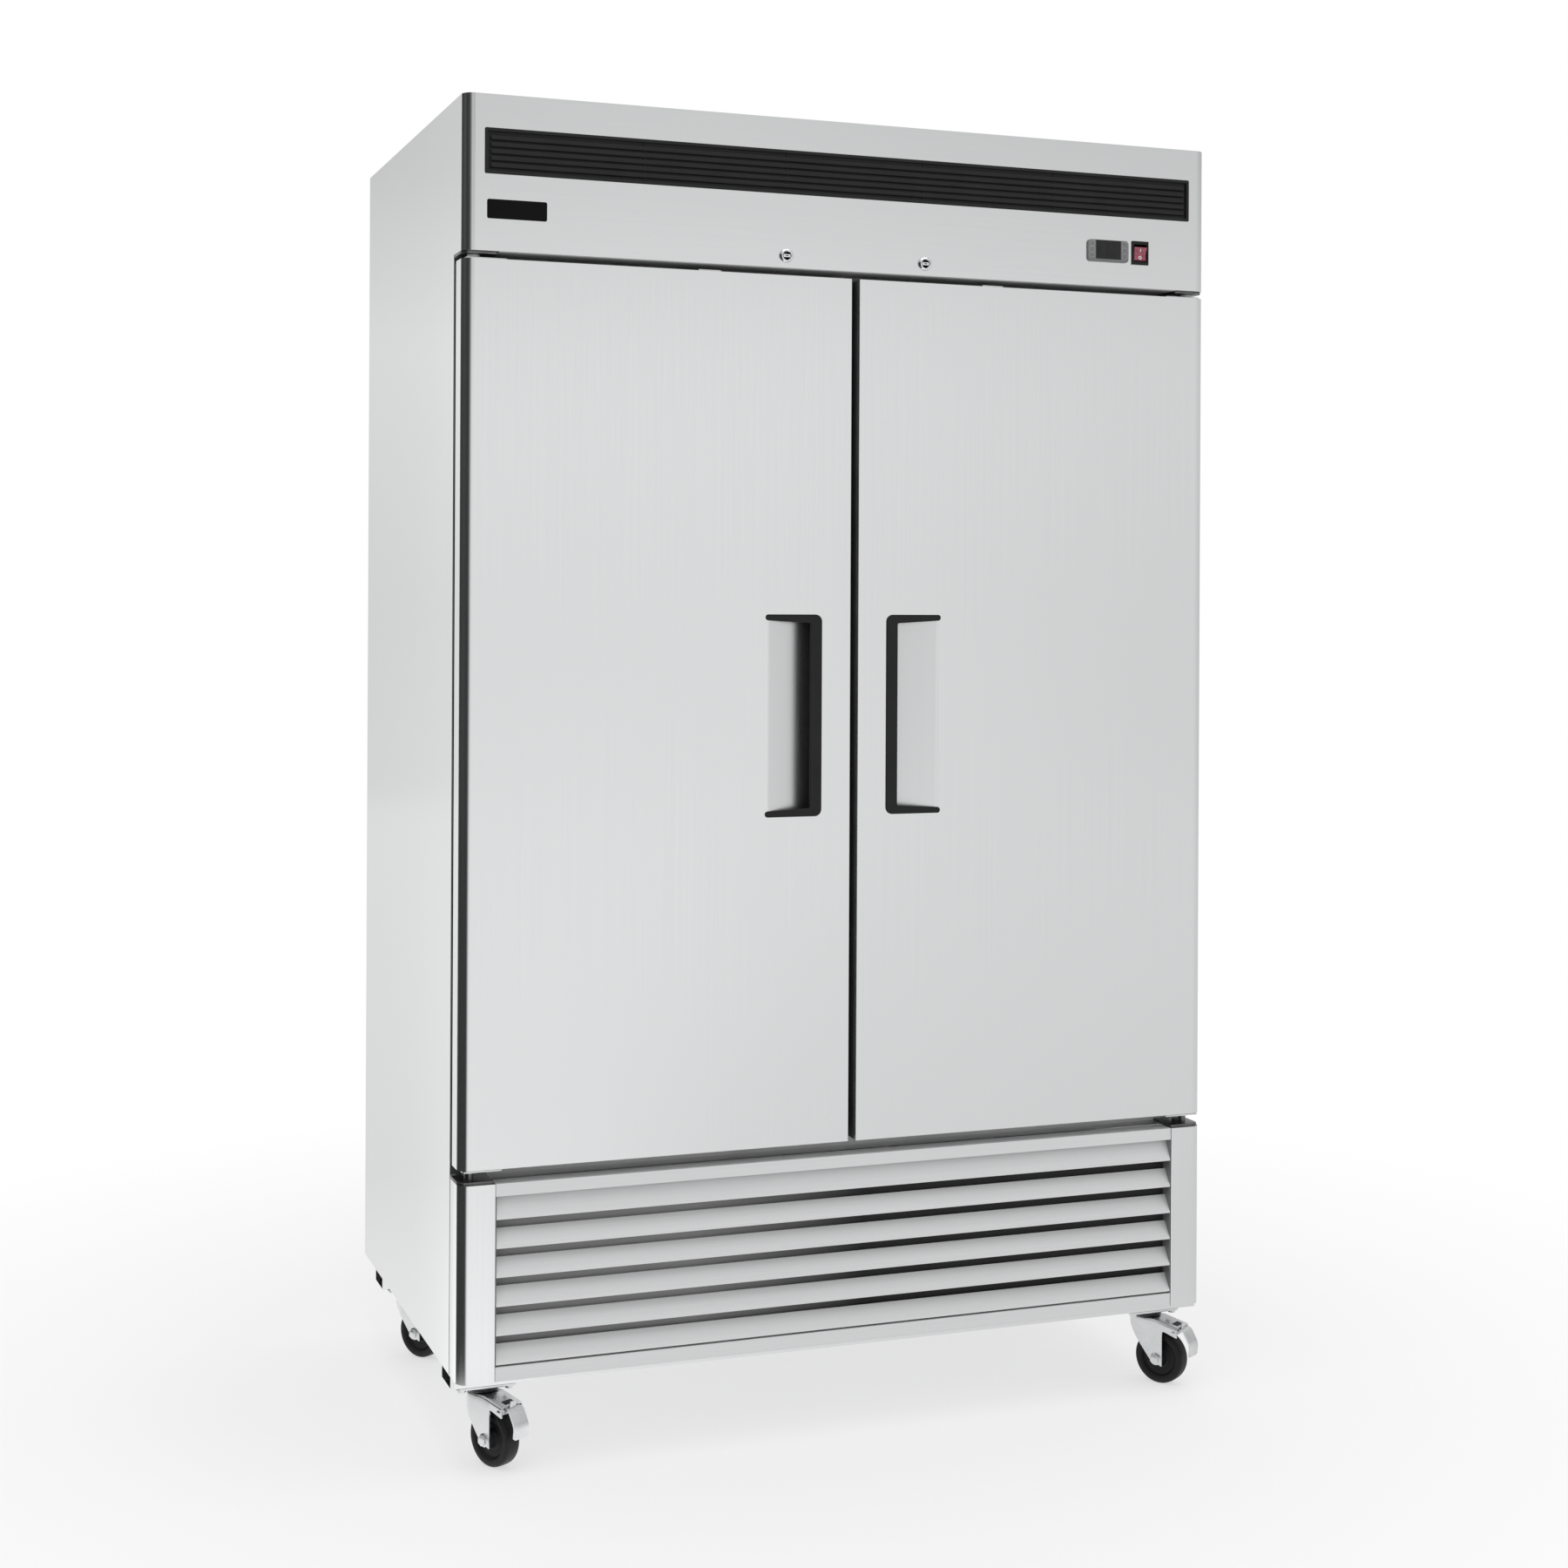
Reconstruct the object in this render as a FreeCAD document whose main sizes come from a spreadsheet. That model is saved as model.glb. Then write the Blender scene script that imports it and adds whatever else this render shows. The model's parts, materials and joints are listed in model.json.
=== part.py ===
import FreeCAD, Part
import math
import os
from types import SimpleNamespace

import Sketcher

# Reach-in freezer with two solid doors, in millimetres.
# X runs to the right, Y to the rear and Z up. The origin is on the floor, under the middle of the cabinet.

os.makedirs("parts", exist_ok=True)
doc = FreeCAD.newDocument("ReachInFreezer")
sheet = doc.addObject("Spreadsheet::Sheet", "Dims")

driving_sizes = (
    # Whole cabinet, from the floor up and from the door face to the rear
    ("overall_width", 1300),
    ("overall_depth", 792),
    ("castor_height", 127),
    ("base_height", 22),
    ("plinth_height", 306),
    ("sill_gap", 23),
    ("door_height", 1405),
    ("head_gap", 12),
    ("header_height", 242),
    ("door_gap", 12),
    ("door_thickness", 56),
    ("seal_gap", 10),
    ("corner_radius", 18),
    ("panel_sheet", 1.2),
    # Insulated box
    ("front_flange", 24),
    ("rear_flange", 18),
    ("side_wall", 55),
    ("front_wall", 60),
    ("rear_wall", 55),
    ("floor_wall", 60),
    ("roof_wall", 60),
    ("door_lap", 30),
    ("mullion_width", 80),
    ("liner_sheet", 1),
    ("rear_slot_width", 360),
    ("rear_slot_height", 8),
    ("rear_slot_pitch", 30),
    ("rear_slot_rise", 90),
    ("rear_slot_spread", 250),
    # Base, posts and louvre
    ("base_sheet", 2),
    ("base_setback", 20),
    ("channel_width", 66),
    ("channel_front_setback", 52),
    ("channel_rear_setback", 108),
    ("post_width", 58),
    ("louvre_clearance", 0.5),
    ("louvre_setback", 1.5),
    ("louvre_depth", 32),
    ("louvre_top_strip", 20),
    ("louvre_bottom_strip", 22.5),
    ("blade_gap", 3),
    ("blade_pitch", 44.9),
    ("blade_lip", 3.5),
    ("blade_run", 12),
    ("blade_rise", 34),
    ("blade_flange", 1.5),
    # Header and its fittings
    ("grille_side_margin", 33),
    ("grille_top_margin", 52),
    ("grille_height", 71),
    ("grille_proud", 1.2),
    ("grille_depth", 10),
    ("grille_rim", 4),
    ("grille_frame", 5.1),
    ("slot_height", 7.6),
    ("slot_pitch", 10.65),
    ("slot_inset", 14),
    ("lock_offset", 121.8),
    ("lock_rise", 19),
    ("lock_projection", 6),
    ("lock_flange_radius", 11.5),
    ("lock_barrel_radius", 9.4),
    ("lock_barrel_depth", 24),
    ("lock_plug_radius", 6.5),
    ("lock_fit", 0.1),
    ("keyway_width", 1.8),
    ("keyway_height", 7.5),
    ("keyway_depth", 8),
    ("cam_length", 40),
    ("cam_width", 11),
    ("cam_thickness", 3),
    ("cam_gap", 0.5),
    ("cam_slot_clearance", 3),
    ("controller_offset", 460.4),
    ("controller_rise", 59.5),
    ("controller_width", 77),
    ("controller_height", 37),
    ("controller_proud", 4),
    ("controller_depth", 48),
    ("controller_rim", 3.5),
    ("controller_corner", 3),
    ("window_width", 47),
    ("window_height", 31),
    ("window_top_margin", 1.2),
    ("window_thickness", 1.4),
    ("key_width", 9),
    ("key_height", 7.6),
    ("key_pitch", 10),
    ("key_offset", 31),
    ("key_lift", 2),
    ("key_proud", 0.9),
    ("key_thickness", 2.6),
    ("key_pocket", 3.6),
    ("key_fit", 0.25),
    ("switch_offset", 522.5),
    ("switch_rise", 59.5),
    ("switch_width", 31),
    ("switch_height", 40),
    ("switch_proud", 2.5),
    ("switch_depth", 26),
    ("switch_wall", 2),
    ("switch_opening_width", 24.6),
    ("switch_opening_height", 29),
    ("rocker_fit", 0.3),
    ("rocker_length", 23),
    ("rocker_front", 11),
    ("rocker_valley", 2.5),
    ("rocker_back", 5),
    ("rocker_pivot_depth", 8),
    ("rocker_pin_radius", 2),
    ("rocker_pin_reach", 1.2),
    ("rocker_pin_fit", 0.1),
    ("rocker_tilt", 9),
    # Hinges
    ("pivot_inset", 22),
    ("pivot_depth", 28),
    ("pin_radius", 6),
    ("pin_fit", 0.1),
    ("pin_reach", 18),
    ("pin_hole_radius", 8),
    ("pin_hole_depth", 22),
    ("bracket_thickness", 4),
    ("bracket_length", 56),
    ("bracket_front", 7),
    ("hinge_plate_thickness", 3),
    ("hinge_plate_length", 64),
    ("hinge_plate_inset", 7),
    ("hinge_plate_front", 9),
    ("hinge_plate_back", 5),
    # Doors
    ("free_edge_radius", 2),
    ("handle_edge", 50.6),
    ("handle_width", 97),
    ("handle_height", 327),
    ("handle_rise", 531),
    ("handle_bar", 20),
    ("handle_arm", 9.5),
    ("handle_arm_root", 14),
    ("handle_proud", 2),
    ("handle_corner", 8),
    ("handle_rounding", 1),
    ("handle_grip", 3),
    ("handle_wall", 2.5),
    ("handle_fit", 0.2),
    ("scoop_lap", 3),
    ("scoop_flat", 23),
    ("scoop_end_inset", 1),
    ("scoop_depth", 36),
    ("gasket_hinge_inset", 22),
    ("gasket_free_inset", 7),
    ("gasket_end_inset", 8),
    ("gasket_width", 18),
    ("gasket_foot", 3),
    ("gasket_step", 3.5),
    ("gasket_rounding", 2.5),
    ("gasket_clearance", 0.3),
    ("plateau_height", 8),
    ("plateau_margin", 6),
    ("plateau_rounding", 6),
    ("glide_inner", 138),
    ("glide_length", 66),
    ("glide_front", 14),
    ("glide_width", 20),
    ("stop_inner", 230),
    ("stop_length", 38),
    ("stop_front", 6),
    ("glide_thickness", 3),
    # Castors, each about its own swivel axis with the wheel trailing along local X
    ("castor_inset", 58),
    ("castor_plate_length", 96),
    ("castor_plate_width", 64),
    ("castor_plate_thickness", 4),
    ("race_radius", 26),
    ("race_height", 9.5),
    ("swivel_gap", 0.3),
    ("king_pin_radius", 6),
    ("king_pin_head_radius", 9),
    ("king_pin_head", 4),
    ("swivel_fit", 0.1),
    ("wheel_radius", 45),
    ("wheel_width", 28),
    ("wheel_hub_width", 38),
    ("wheel_hub_radius", 14),
    ("wheel_rim", 12),
    ("wheel_dish", 6),
    ("wheel_edge", 3),
    ("castor_trail", 30),
    ("fork_inside", 40),
    ("fork_sheet", 2.5),
    ("fork_back", 29),
    ("fork_crown_radius", 28),
    ("fork_shoulder", 22),
    ("fork_slope", 9),
    ("fork_leg_front", 12),
    ("fork_eye", 11),
    ("fork_toe", 12),
    ("fork_heel", 3),
    ("fork_bend", 4),
    ("nose_front", 70),
    ("nose_back", 46),
    ("nose_start", 26),
    ("nose_drop", 9),
    ("nose_depth", 17),
    ("nose_back_depth", 9),
    ("axle_radius", 5),
    ("axle_fit", 0.1),
    ("axle_hex", 15),
    ("axle_head", 6),
    ("pedal_pivot_back", 6),
    ("pedal_pivot_drop", 18),
    ("pedal_pin_radius", 3),
    ("pedal_pin_fit", 0.1),
    ("pedal_sheet", 3.4),
    ("pedal_half_width", 15),
    ("pedal_knee", 12),
    ("pedal_reach", 30),
    ("pedal_drop", 42),
    ("castor_turn_front_left", 298),
    ("castor_turn_front_right", 303),
    ("castor_turn_rear_left", 305),
    ("castor_turn_rear_right", 300),
    # Machine compartment
    ("condenser_left", 470),
    ("condenser_width", 380),
    ("condenser_height", 262),
    ("condenser_thickness", 66),
    ("condenser_front", 120),
    ("end_plate", 2),
    ("bend_radius", 11),
    ("bend_tube", 4.5),
    ("bend_pitch", 58),
    ("housing_depth", 58),
    ("housing_sheet", 1.5),
    ("fan_radius", 112),
    ("fan_tip_gap", 10),
    ("hub_radius", 24),
    ("hub_length", 22),
    ("blade_sheet", 2.4),
    ("root_chord", 24),
    ("tip_chord", 66),
    ("root_pitch", 12),
    ("tip_pitch", 9),
    ("shaft_radius", 4),
    ("shaft_fit", 0.3),
    ("motor_radius", 34),
    ("motor_length", 52),
    ("motor_gap", 6),
    ("strut_width", 14),
    ("compressor_offset", 215),
    ("compressor_setback", 470),
    ("shell_radius", 92),
    ("shell_height", 186),
    ("shell_seam", 84),
    ("shell_rim", 5),
    ("shell_dome", 34),
    ("shell_rounding", 26),
    ("foot_length", 210),
    ("foot_width", 130),
    ("foot_sheet", 4),
    ("foot_height", 22),
    ("grommet_radius", 13),
    ("drier_radius", 13),
    ("drier_length", 130),
    ("drier_neck", 22),
    ("drier_cone", 11),
    ("tube_radius", 5),
    ("discharge_drop", 15),
    ("discharge_offset", 46),
    ("suction_offset", 31),
    ("drier_offset", 30),
    # Inside the cold space
    ("cover_width", 900),
    ("cover_height", 196),
    ("cover_depth", 430),
    ("cover_front_gap", 14),
    ("cover_sheet", 1.2),
    ("coil_width", 780),
    ("coil_height", 118),
    ("coil_depth", 210),
    ("coil_back_gap", 24),
    ("cold_fan_radius", 82),
    ("cold_fan_spread", 225),
    ("standard_width", 22),
    ("standard_depth", 9),
    ("standard_sheet", 1.5),
    ("standard_end_gap", 40),
    ("standard_slot_width", 8),
    ("standard_slot_height", 14),
    ("standard_slot_pitch", 72),
    ("standard_wall_inset", 62),
    ("standard_centre_offset", 17),
    ("clip_width", 16),
    ("clip_reach", 15),
    ("clip_height", 18),
    ("clip_seat", 9),
    ("shelf_rod_radius", 3.5),
    ("shelf_side_rod_radius", 3),
    ("shelf_wire_radius", 2),
    ("shelf_sink", 1),
    ("shelf_side_gap", 17),
    ("shelf_centre_gap", 8),
    ("shelf_end_gap", 26),
    ("shelf_first", 260),
    ("shelf_pitch", 345),
)

# Counts of what repeats
blade_count = 6
grille_slot_count = 6
rear_slot_count = 6
fan_blade_count = 5
standard_slot_count = 17
shelf_wire_count = 19
shelf_level_count = 3
bend_count = 4


class Size:
    """A length with its present number and the sheet expression that gives it."""

    def __init__(self, value, text):
        self.value = value
        self.text = text

    def join(self, other, sign, value, swap=False):
        first, second = (other, self.text) if swap else (self.text, other)
        return Size(value, f"({first} {sign} {second})")

    def __add__(self, other):
        return self.join(words(other), "+", self.value + number(other))

    def __radd__(self, other):
        return self.join(words(other), "+", number(other) + self.value, swap=True)

    def __sub__(self, other):
        return self.join(words(other), "-", self.value - number(other))

    def __rsub__(self, other):
        return self.join(words(other), "-", number(other) - self.value, swap=True)

    def __mul__(self, other):
        return self.join(words(other), "*", self.value * number(other))

    def __rmul__(self, other):
        return self.join(words(other), "*", number(other) * self.value, swap=True)

    def __truediv__(self, other):
        return self.join(words(other), "/", self.value / number(other))

    def __neg__(self):
        return Size(-self.value, f"(-1 * {self.text})")


def number(quantity):
    return quantity.value if isinstance(quantity, Size) else float(quantity)


def words(quantity):
    return quantity.text if isinstance(quantity, Size) else repr(quantity)


def fill_sheet():
    for row, (alias, value) in enumerate(driving_sizes, start=1):
        sheet.set(f"A{row}", alias.replace("_", " "))
        sheet.set(f"B{row}", str(value))
        sheet.setAlias(f"B{row}", alias)
    doc.recompute()
    return SimpleNamespace(
        **{alias: Size(float(sheet.get(alias)), f"Dims.{alias}") for alias, _ in driving_sizes}
    )


s = fill_sheet()
nodes = []


def bind(target, path, quantity):
    if isinstance(quantity, Size):
        target.setExpression(path, quantity.text)


# Sketch and feature helpers

planes = {"x": "YZ_Plane", "y": "XZ_Plane", "z": "XY_Plane"}
directions = {"x": FreeCAD.Vector(1, 0, 0), "y": FreeCAD.Vector(0, 1, 0), "z": FreeCAD.Vector(0, 0, 1)}


def new_body(label):
    body = doc.addObject("PartDesign::Body", label)
    body.Label = label
    return body


def new_node(label):
    body = new_body(label)
    nodes.append(body)
    return body


def group(label, members):
    compound = doc.addObject("Part::Compound", label)
    compound.Label = label
    compound.Links = members
    nodes.append(compound)
    return compound


def place(target, x=0, y=0, z=0, axis="z", turn=0):
    rotation = FreeCAD.Rotation(directions[axis], number(turn))
    target.Placement = FreeCAD.Placement(FreeCAD.Vector(number(x), number(y), number(z)), rotation)
    bind(target, "Placement.Base.x", x)
    bind(target, "Placement.Base.y", y)
    bind(target, "Placement.Base.z", z)
    if isinstance(turn, Size):
        target.setExpression("Placement.Rotation.Angle", f"{turn.text} * 1 deg")


def copy_of(source, label, x, y, z, turn=0):
    link = doc.addObject("App::Link", label)
    link.Label = label
    link.LinkedObject = source
    link.LinkTransform = False
    place(link, x, y, z, turn=turn)
    return link


def new_sketch(body, role, level=0):
    sketch = body.newObject("Sketcher::SketchObject", f"{body.Name}_sketch")
    plane = next(f for f in body.Origin.OriginFeatures if f.Role == role)
    sketch.AttachmentSupport = [(plane, "")]
    sketch.MapMode = "FlatFace"
    sketch.AttachmentOffset = FreeCAD.Placement(FreeCAD.Vector(0, 0, number(level)), FreeCAD.Rotation())
    bind(sketch, "AttachmentOffset.Base.z", level)
    return sketch


def pin_point(sketch, geometry, position, x, y):
    for kind, quantity in (("DistanceX", x), ("DistanceY", y)):
        index = sketch.addConstraint(Sketcher.Constraint(kind, -1, 1, geometry, position, number(quantity)))
        if isinstance(quantity, Size):
            name = f"{kind}{index}"
            sketch.renameConstraint(index, name)
            sketch.setExpression(f"Constraints.{name}", quantity.text)


def add_outline(sketch, corners):
    points = [FreeCAD.Vector(number(x), number(y), 0) for x, y in corners]
    first = sketch.GeometryCount
    count = len(points)
    for i in range(count):
        sketch.addGeometry(Part.LineSegment(points[i], points[(i + 1) % count]))
    for i in range(count):
        sketch.addConstraint(Sketcher.Constraint("Coincident", first + i, 2, first + (i + 1) % count, 1))
    for i, (x, y) in enumerate(corners):
        pin_point(sketch, first + i, 1, x, y)


def add_circle(sketch, x, y, radius):
    centre = FreeCAD.Vector(number(x), number(y), 0)
    index = sketch.addGeometry(Part.Circle(centre, FreeCAD.Vector(0, 0, 1), number(radius)))
    pin_point(sketch, index, 3, x, y)
    ring = sketch.addConstraint(Sketcher.Constraint("Radius", index, number(radius)))
    if isinstance(radius, Size):
        sketch.renameConstraint(ring, f"Radius{ring}")
        sketch.setExpression(f"Constraints.Radius{ring}", radius.text)


def rectangle(x0, y0, x1, y1):
    return [(x0, y0), (x1, y0), (x1, y1), (x0, y1)]


def disc(x, y, radius):
    return SimpleNamespace(x=x, y=y, radius=radius)


def hexagon(x, y, across_flats):
    corner = across_flats / math.sqrt(3)
    steps = [math.radians(60 * i) for i in range(6)]
    return [(x + corner * math.cos(a), y + corner * math.sin(a)) for a in steps]


def loops_sketch(body, role, level, loops):
    sketch = new_sketch(body, role, level)
    for loop in loops:
        if isinstance(loop, SimpleNamespace):
            add_circle(sketch, loop.x, loop.y, loop.radius)
        else:
            add_outline(sketch, loop)
    return sketch


def extrude(kind, body, axis, low, high, loops):
    level = -high if axis == "y" else low
    feature_sketch = loops_sketch(body, planes[axis], level, loops)
    feature = body.newObject(kind, f"{body.Name}_feature")
    feature.Profile = feature_sketch
    length = high - low
    feature.Length = number(length)
    bind(feature, "Length", length)
    return feature


def add(body, axis, low, high, *loops):
    return extrude("PartDesign::Pad", body, axis, low, high, loops)


def cut(body, axis, low, high, *loops):
    doc.recompute()
    before = body.Shape.Volume
    pocket = extrude("PartDesign::Pocket", body, axis, low, high, loops)
    pocket.Reversed = True
    doc.recompute()
    if not body.Shape.Volume < before:
        raise RuntimeError(f"a cut in {body.Label} took nothing away")
    return pocket


def turned(body, axis, profile):
    role, spin = {"x": ("XY_Plane", "H_Axis"), "y": ("XY_Plane", "V_Axis"), "z": ("XZ_Plane", "V_Axis")}[axis]
    sketch = loops_sketch(body, role, 0, [profile])
    revolution = body.newObject("PartDesign::Revolution", f"{body.Name}_turn")
    revolution.Profile = sketch
    revolution.ReferenceAxis = (sketch, [spin])
    revolution.Angle = 360
    return revolution


def straight_edges(shape, axis, first, second):
    others = [i for i in range(3) if i != "xyz".index(axis)]
    found = []
    for i, edge in enumerate(shape.Edges, start=1):
        if not isinstance(edge.Curve, Part.Line) or abs(abs(edge.Curve.Direction.dot(directions[axis])) - 1) > 1e-6:
            continue
        middle = edge.CenterOfMass
        if all(abs(middle[k] - number(q)) < 0.01 for k, q in zip(others, (first, second))):
            found.append(f"Edge{i}")
    return found


def soften(body, radius, *spots, kind="PartDesign::Fillet"):
    doc.recompute()
    base = body.Tip
    names = [name for spot in spots for name in straight_edges(base.Shape, *spot)]
    if len(names) < len(spots):
        raise RuntimeError(f"edges to round in {body.Label} were not found")
    rounding = body.newObject(kind, f"{body.Name}_rounding")
    rounding.Base = (base, names)
    path = "Radius" if kind.endswith("Fillet") else "Size"
    setattr(rounding, path, number(radius))
    bind(rounding, path, radius)
    return rounding


def level_faces(body, axis, level):
    shape = body.Shape
    picked = []
    for i, face in enumerate(shape.Faces, start=1):
        box = face.BoundBox
        low, high = (getattr(box, f"{axis.upper()}{end}") for end in ("Min", "Max"))
        if high - low < 0.01 and abs(low - number(level)) < 0.01:
            picked.append(f"Face{i}")
    return picked


def soften_face(body, axis, level, radius):
    doc.recompute()
    base = body.Tip
    rounding = body.newObject("PartDesign::Fillet", f"{body.Name}_rounding")
    rounding.Base = (base, level_faces(body, axis, level))
    rounding.Radius = number(radius)
    bind(rounding, "Radius", radius)
    return rounding


def soften_rings(body, radius, *levels):
    doc.recompute()
    base = body.Tip
    names = []
    for i, edge in enumerate(base.Shape.Edges, start=1):
        if isinstance(edge.Curve, Part.Circle):
            if any(abs(edge.Curve.Center.z - number(level)) < 0.01 for level in levels):
                names.append(f"Edge{i}")
    rounding = body.newObject("PartDesign::Fillet", f"{body.Name}_rounding")
    rounding.Base = (base, names)
    rounding.Radius = number(radius)
    bind(rounding, "Radius", radius)
    return rounding


def pattern(body, features, count, step, axis_role):
    doc.recompute()
    copies = body.newObject("PartDesign::LinearPattern", f"{body.Name}_pattern")
    copies.Originals = features
    line = next(f for f in body.Origin.OriginFeatures if f.Role == axis_role)
    copies.Direction = (line, [""])
    copies.Occurrences = count
    span = step * (count - 1)
    copies.Length = number(span)
    bind(copies, "Length", span)
    body.Tip = copies
    return copies


# Shared levels and planes

half = s.overall_width / 2
y_front = -s.overall_depth / 2
y_rear = s.overall_depth / 2
y_door_back = y_front + s.door_thickness
y_face = y_door_back + s.seal_gap
z_base = s.castor_height
z_plinth = z_base + s.base_height
z_sill = z_plinth + s.plinth_height
z_door = z_sill + s.sill_gap
z_door_top = z_door + s.door_height
z_header = z_door_top + s.head_gap
z_top = z_header + s.header_height

y_behind_face = y_face + s.panel_sheet
cold_x = half - s.side_wall
cold_front = y_behind_face + s.front_wall
cold_rear = y_rear - s.rear_wall
cold_floor = z_door + s.door_lap
cold_roof = z_top - s.roof_wall
opening_top = z_door_top - s.door_lap
mullion = s.mullion_width / 2
foam_floor = cold_floor - s.floor_wall
free_edge = s.door_gap / 2
pivot_x = half - s.pivot_inset
pivot_y = y_front + s.pivot_depth
lock_z = z_header + s.lock_rise
cam_y = y_front + s.lock_barrel_depth + s.cam_gap
cam_slot_front = cam_y - s.cam_slot_clearance
cam_slot_back = cam_y + s.cam_thickness + s.cam_slot_clearance
cam_slot_near = s.lock_offset - s.cam_width / 2 - s.cam_slot_clearance
cam_slot_far = s.lock_offset + s.cam_length + s.cam_slot_clearance
controller_z = z_header + s.controller_rise
switch_z = z_header + s.switch_rise
grille_top = z_top - s.grille_top_margin
grille_bottom = grille_top - s.grille_height
grille_half = half - s.grille_side_margin


# Outer panels, insulation and liner

def side_panel(label, m):
    body = new_node(label)
    profile = [
        (m * half, y_face),
        (m * half, y_rear),
        (m * (half - s.rear_flange), y_rear),
        (m * (half - s.rear_flange), y_rear - s.panel_sheet),
        (m * (half - s.panel_sheet), y_rear - s.panel_sheet),
        (m * (half - s.panel_sheet), y_behind_face),
        (m * (half - s.front_flange), y_behind_face),
        (m * (half - s.front_flange), y_face),
    ]
    add(body, "z", z_plinth, z_top, profile)


def rear_panel():
    body = new_node("rear_panel")
    wide = half - s.rear_flange
    add(body, "y", y_rear - s.panel_sheet, y_rear, rectangle(-wide, z_plinth, wide, z_top))
    slots = []
    for m in (-1, 1):
        near = m * s.rear_slot_spread - s.rear_slot_width / 2
        slots.append(rectangle(near, z_plinth + s.rear_slot_rise, near + s.rear_slot_width,
                               z_plinth + s.rear_slot_rise + s.rear_slot_height))
    first = cut(body, "y", y_rear - s.panel_sheet, y_rear, *slots)
    pattern(body, [first], rear_slot_count, s.rear_slot_pitch, "Z_Axis")


def top_panel():
    body = new_node("top_panel")
    wide = half - s.panel_sheet
    add(body, "z", z_top - s.panel_sheet, z_top, rectangle(-wide, y_behind_face, wide, y_rear - s.panel_sheet))


def face_frame():
    body = new_node("face_frame")
    wide = half - s.front_flange
    add(body, "y", y_face, y_behind_face, rectangle(-wide, foam_floor, wide, z_top))
    openings = [rectangle(m * mullion, cold_floor, m * cold_x, opening_top) for m in (-1, 1)]
    cut(body, "y", y_face, y_behind_face, *openings)


def cabinet_insulation():
    body = new_node("cabinet_insulation")
    wide = half - s.panel_sheet
    add(body, "y", y_behind_face, y_rear - s.panel_sheet, rectangle(-wide, foam_floor, wide, z_top - s.panel_sheet))
    cut(body, "y", cold_front, cold_rear, rectangle(-cold_x, cold_floor, cold_x, cold_roof))
    openings = [rectangle(m * mullion, cold_floor, m * cold_x, opening_top) for m in (-1, 1)]
    cut(body, "y", y_behind_face, cold_front, *openings)


def inner_liner():
    body = new_node("inner_liner")
    t = s.liner_sheet
    add(body, "y", cold_front, cold_rear, rectangle(-cold_x, cold_floor, cold_x, cold_roof))
    throats = [rectangle(m * mullion, cold_floor, m * cold_x, opening_top) for m in (-1, 1)]
    add(body, "y", y_behind_face, cold_front, *throats)
    cut(body, "y", cold_front + t, cold_rear - t,
        rectangle(t - cold_x, cold_floor + t, cold_x - t, cold_roof - t))
    throats = [rectangle(m * (mullion + t), cold_floor + t, m * (cold_x - t), opening_top - t) for m in (-1, 1)]
    cut(body, "y", y_behind_face, cold_front + t, *throats)


# Base, posts and louvred front

def base_frame():
    body = new_node("base_frame")
    t = s.base_sheet
    front = y_front + s.base_setback
    under = z_plinth - t
    add(body, "z", under, z_plinth, rectangle(-half, front, half, y_rear - s.panel_sheet))
    add(body, "y", front, front + t, rectangle(-half, z_base, half, under))
    for near in channel_starts():
        outer = rectangle(near, z_base, near + s.channel_width, under)
        inner = rectangle(near + t, z_base + t, near + s.channel_width - t, under)
        add(body, "x", -half, half, outer)
        cut(body, "x", -half, half, inner)


def channel_starts():
    return (y_front + s.channel_front_setback, y_rear - s.channel_rear_setback - s.channel_width)


def corner_post(label, m):
    body = new_node(label)
    t = s.panel_sheet
    inner_edge = half - s.post_width
    add(body, "z", z_plinth, z_sill, rectangle(m * inner_edge, y_front, m * half, y_face))
    cut(body, "z", z_plinth, z_sill - t,
        rectangle(m * (inner_edge + t), y_front + t, m * (half - t), y_face))
    soften(body, s.corner_radius - t, ("z", m * (half - t), y_front + t))
    soften(body, s.corner_radius, ("z", m * half, y_front))


def louvre_panel():
    t = s.panel_sheet
    wide = half - s.post_width - s.louvre_clearance
    front = y_front + s.louvre_setback
    back = front + s.louvre_depth
    frame = new_body("louvre_frame")
    add(frame, "y", front, back, rectangle(-wide, z_plinth, wide, z_sill))
    cut(frame, "y", front + t, back, rectangle(t - wide, z_plinth + t, wide - t, z_sill - t))
    cut(frame, "y", front, front + t,
        rectangle(t - wide, z_plinth + s.louvre_bottom_strip, wide - t, z_sill - s.louvre_top_strip))
    members = [frame]
    for i in range(blade_count):
        low = z_plinth + s.louvre_bottom_strip + s.blade_gap + s.blade_pitch * i
        high = low + s.blade_rise
        top = front + s.blade_run
        blade = new_body(f"louvre_blade_{i + 1}")
        add(blade, "x", t - wide, wide - t, [
            (front, low),
            (front, low + s.blade_lip),
            (top, high),
            (top, high + s.blade_flange),
            (top + t, high + s.blade_flange),
            (top + t, high - t),
            (front + t, low + s.blade_lip - t),
            (front + t, low),
        ])
        members.append(blade)
    group("louvre_panel", members)


# Header and its fittings

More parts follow.
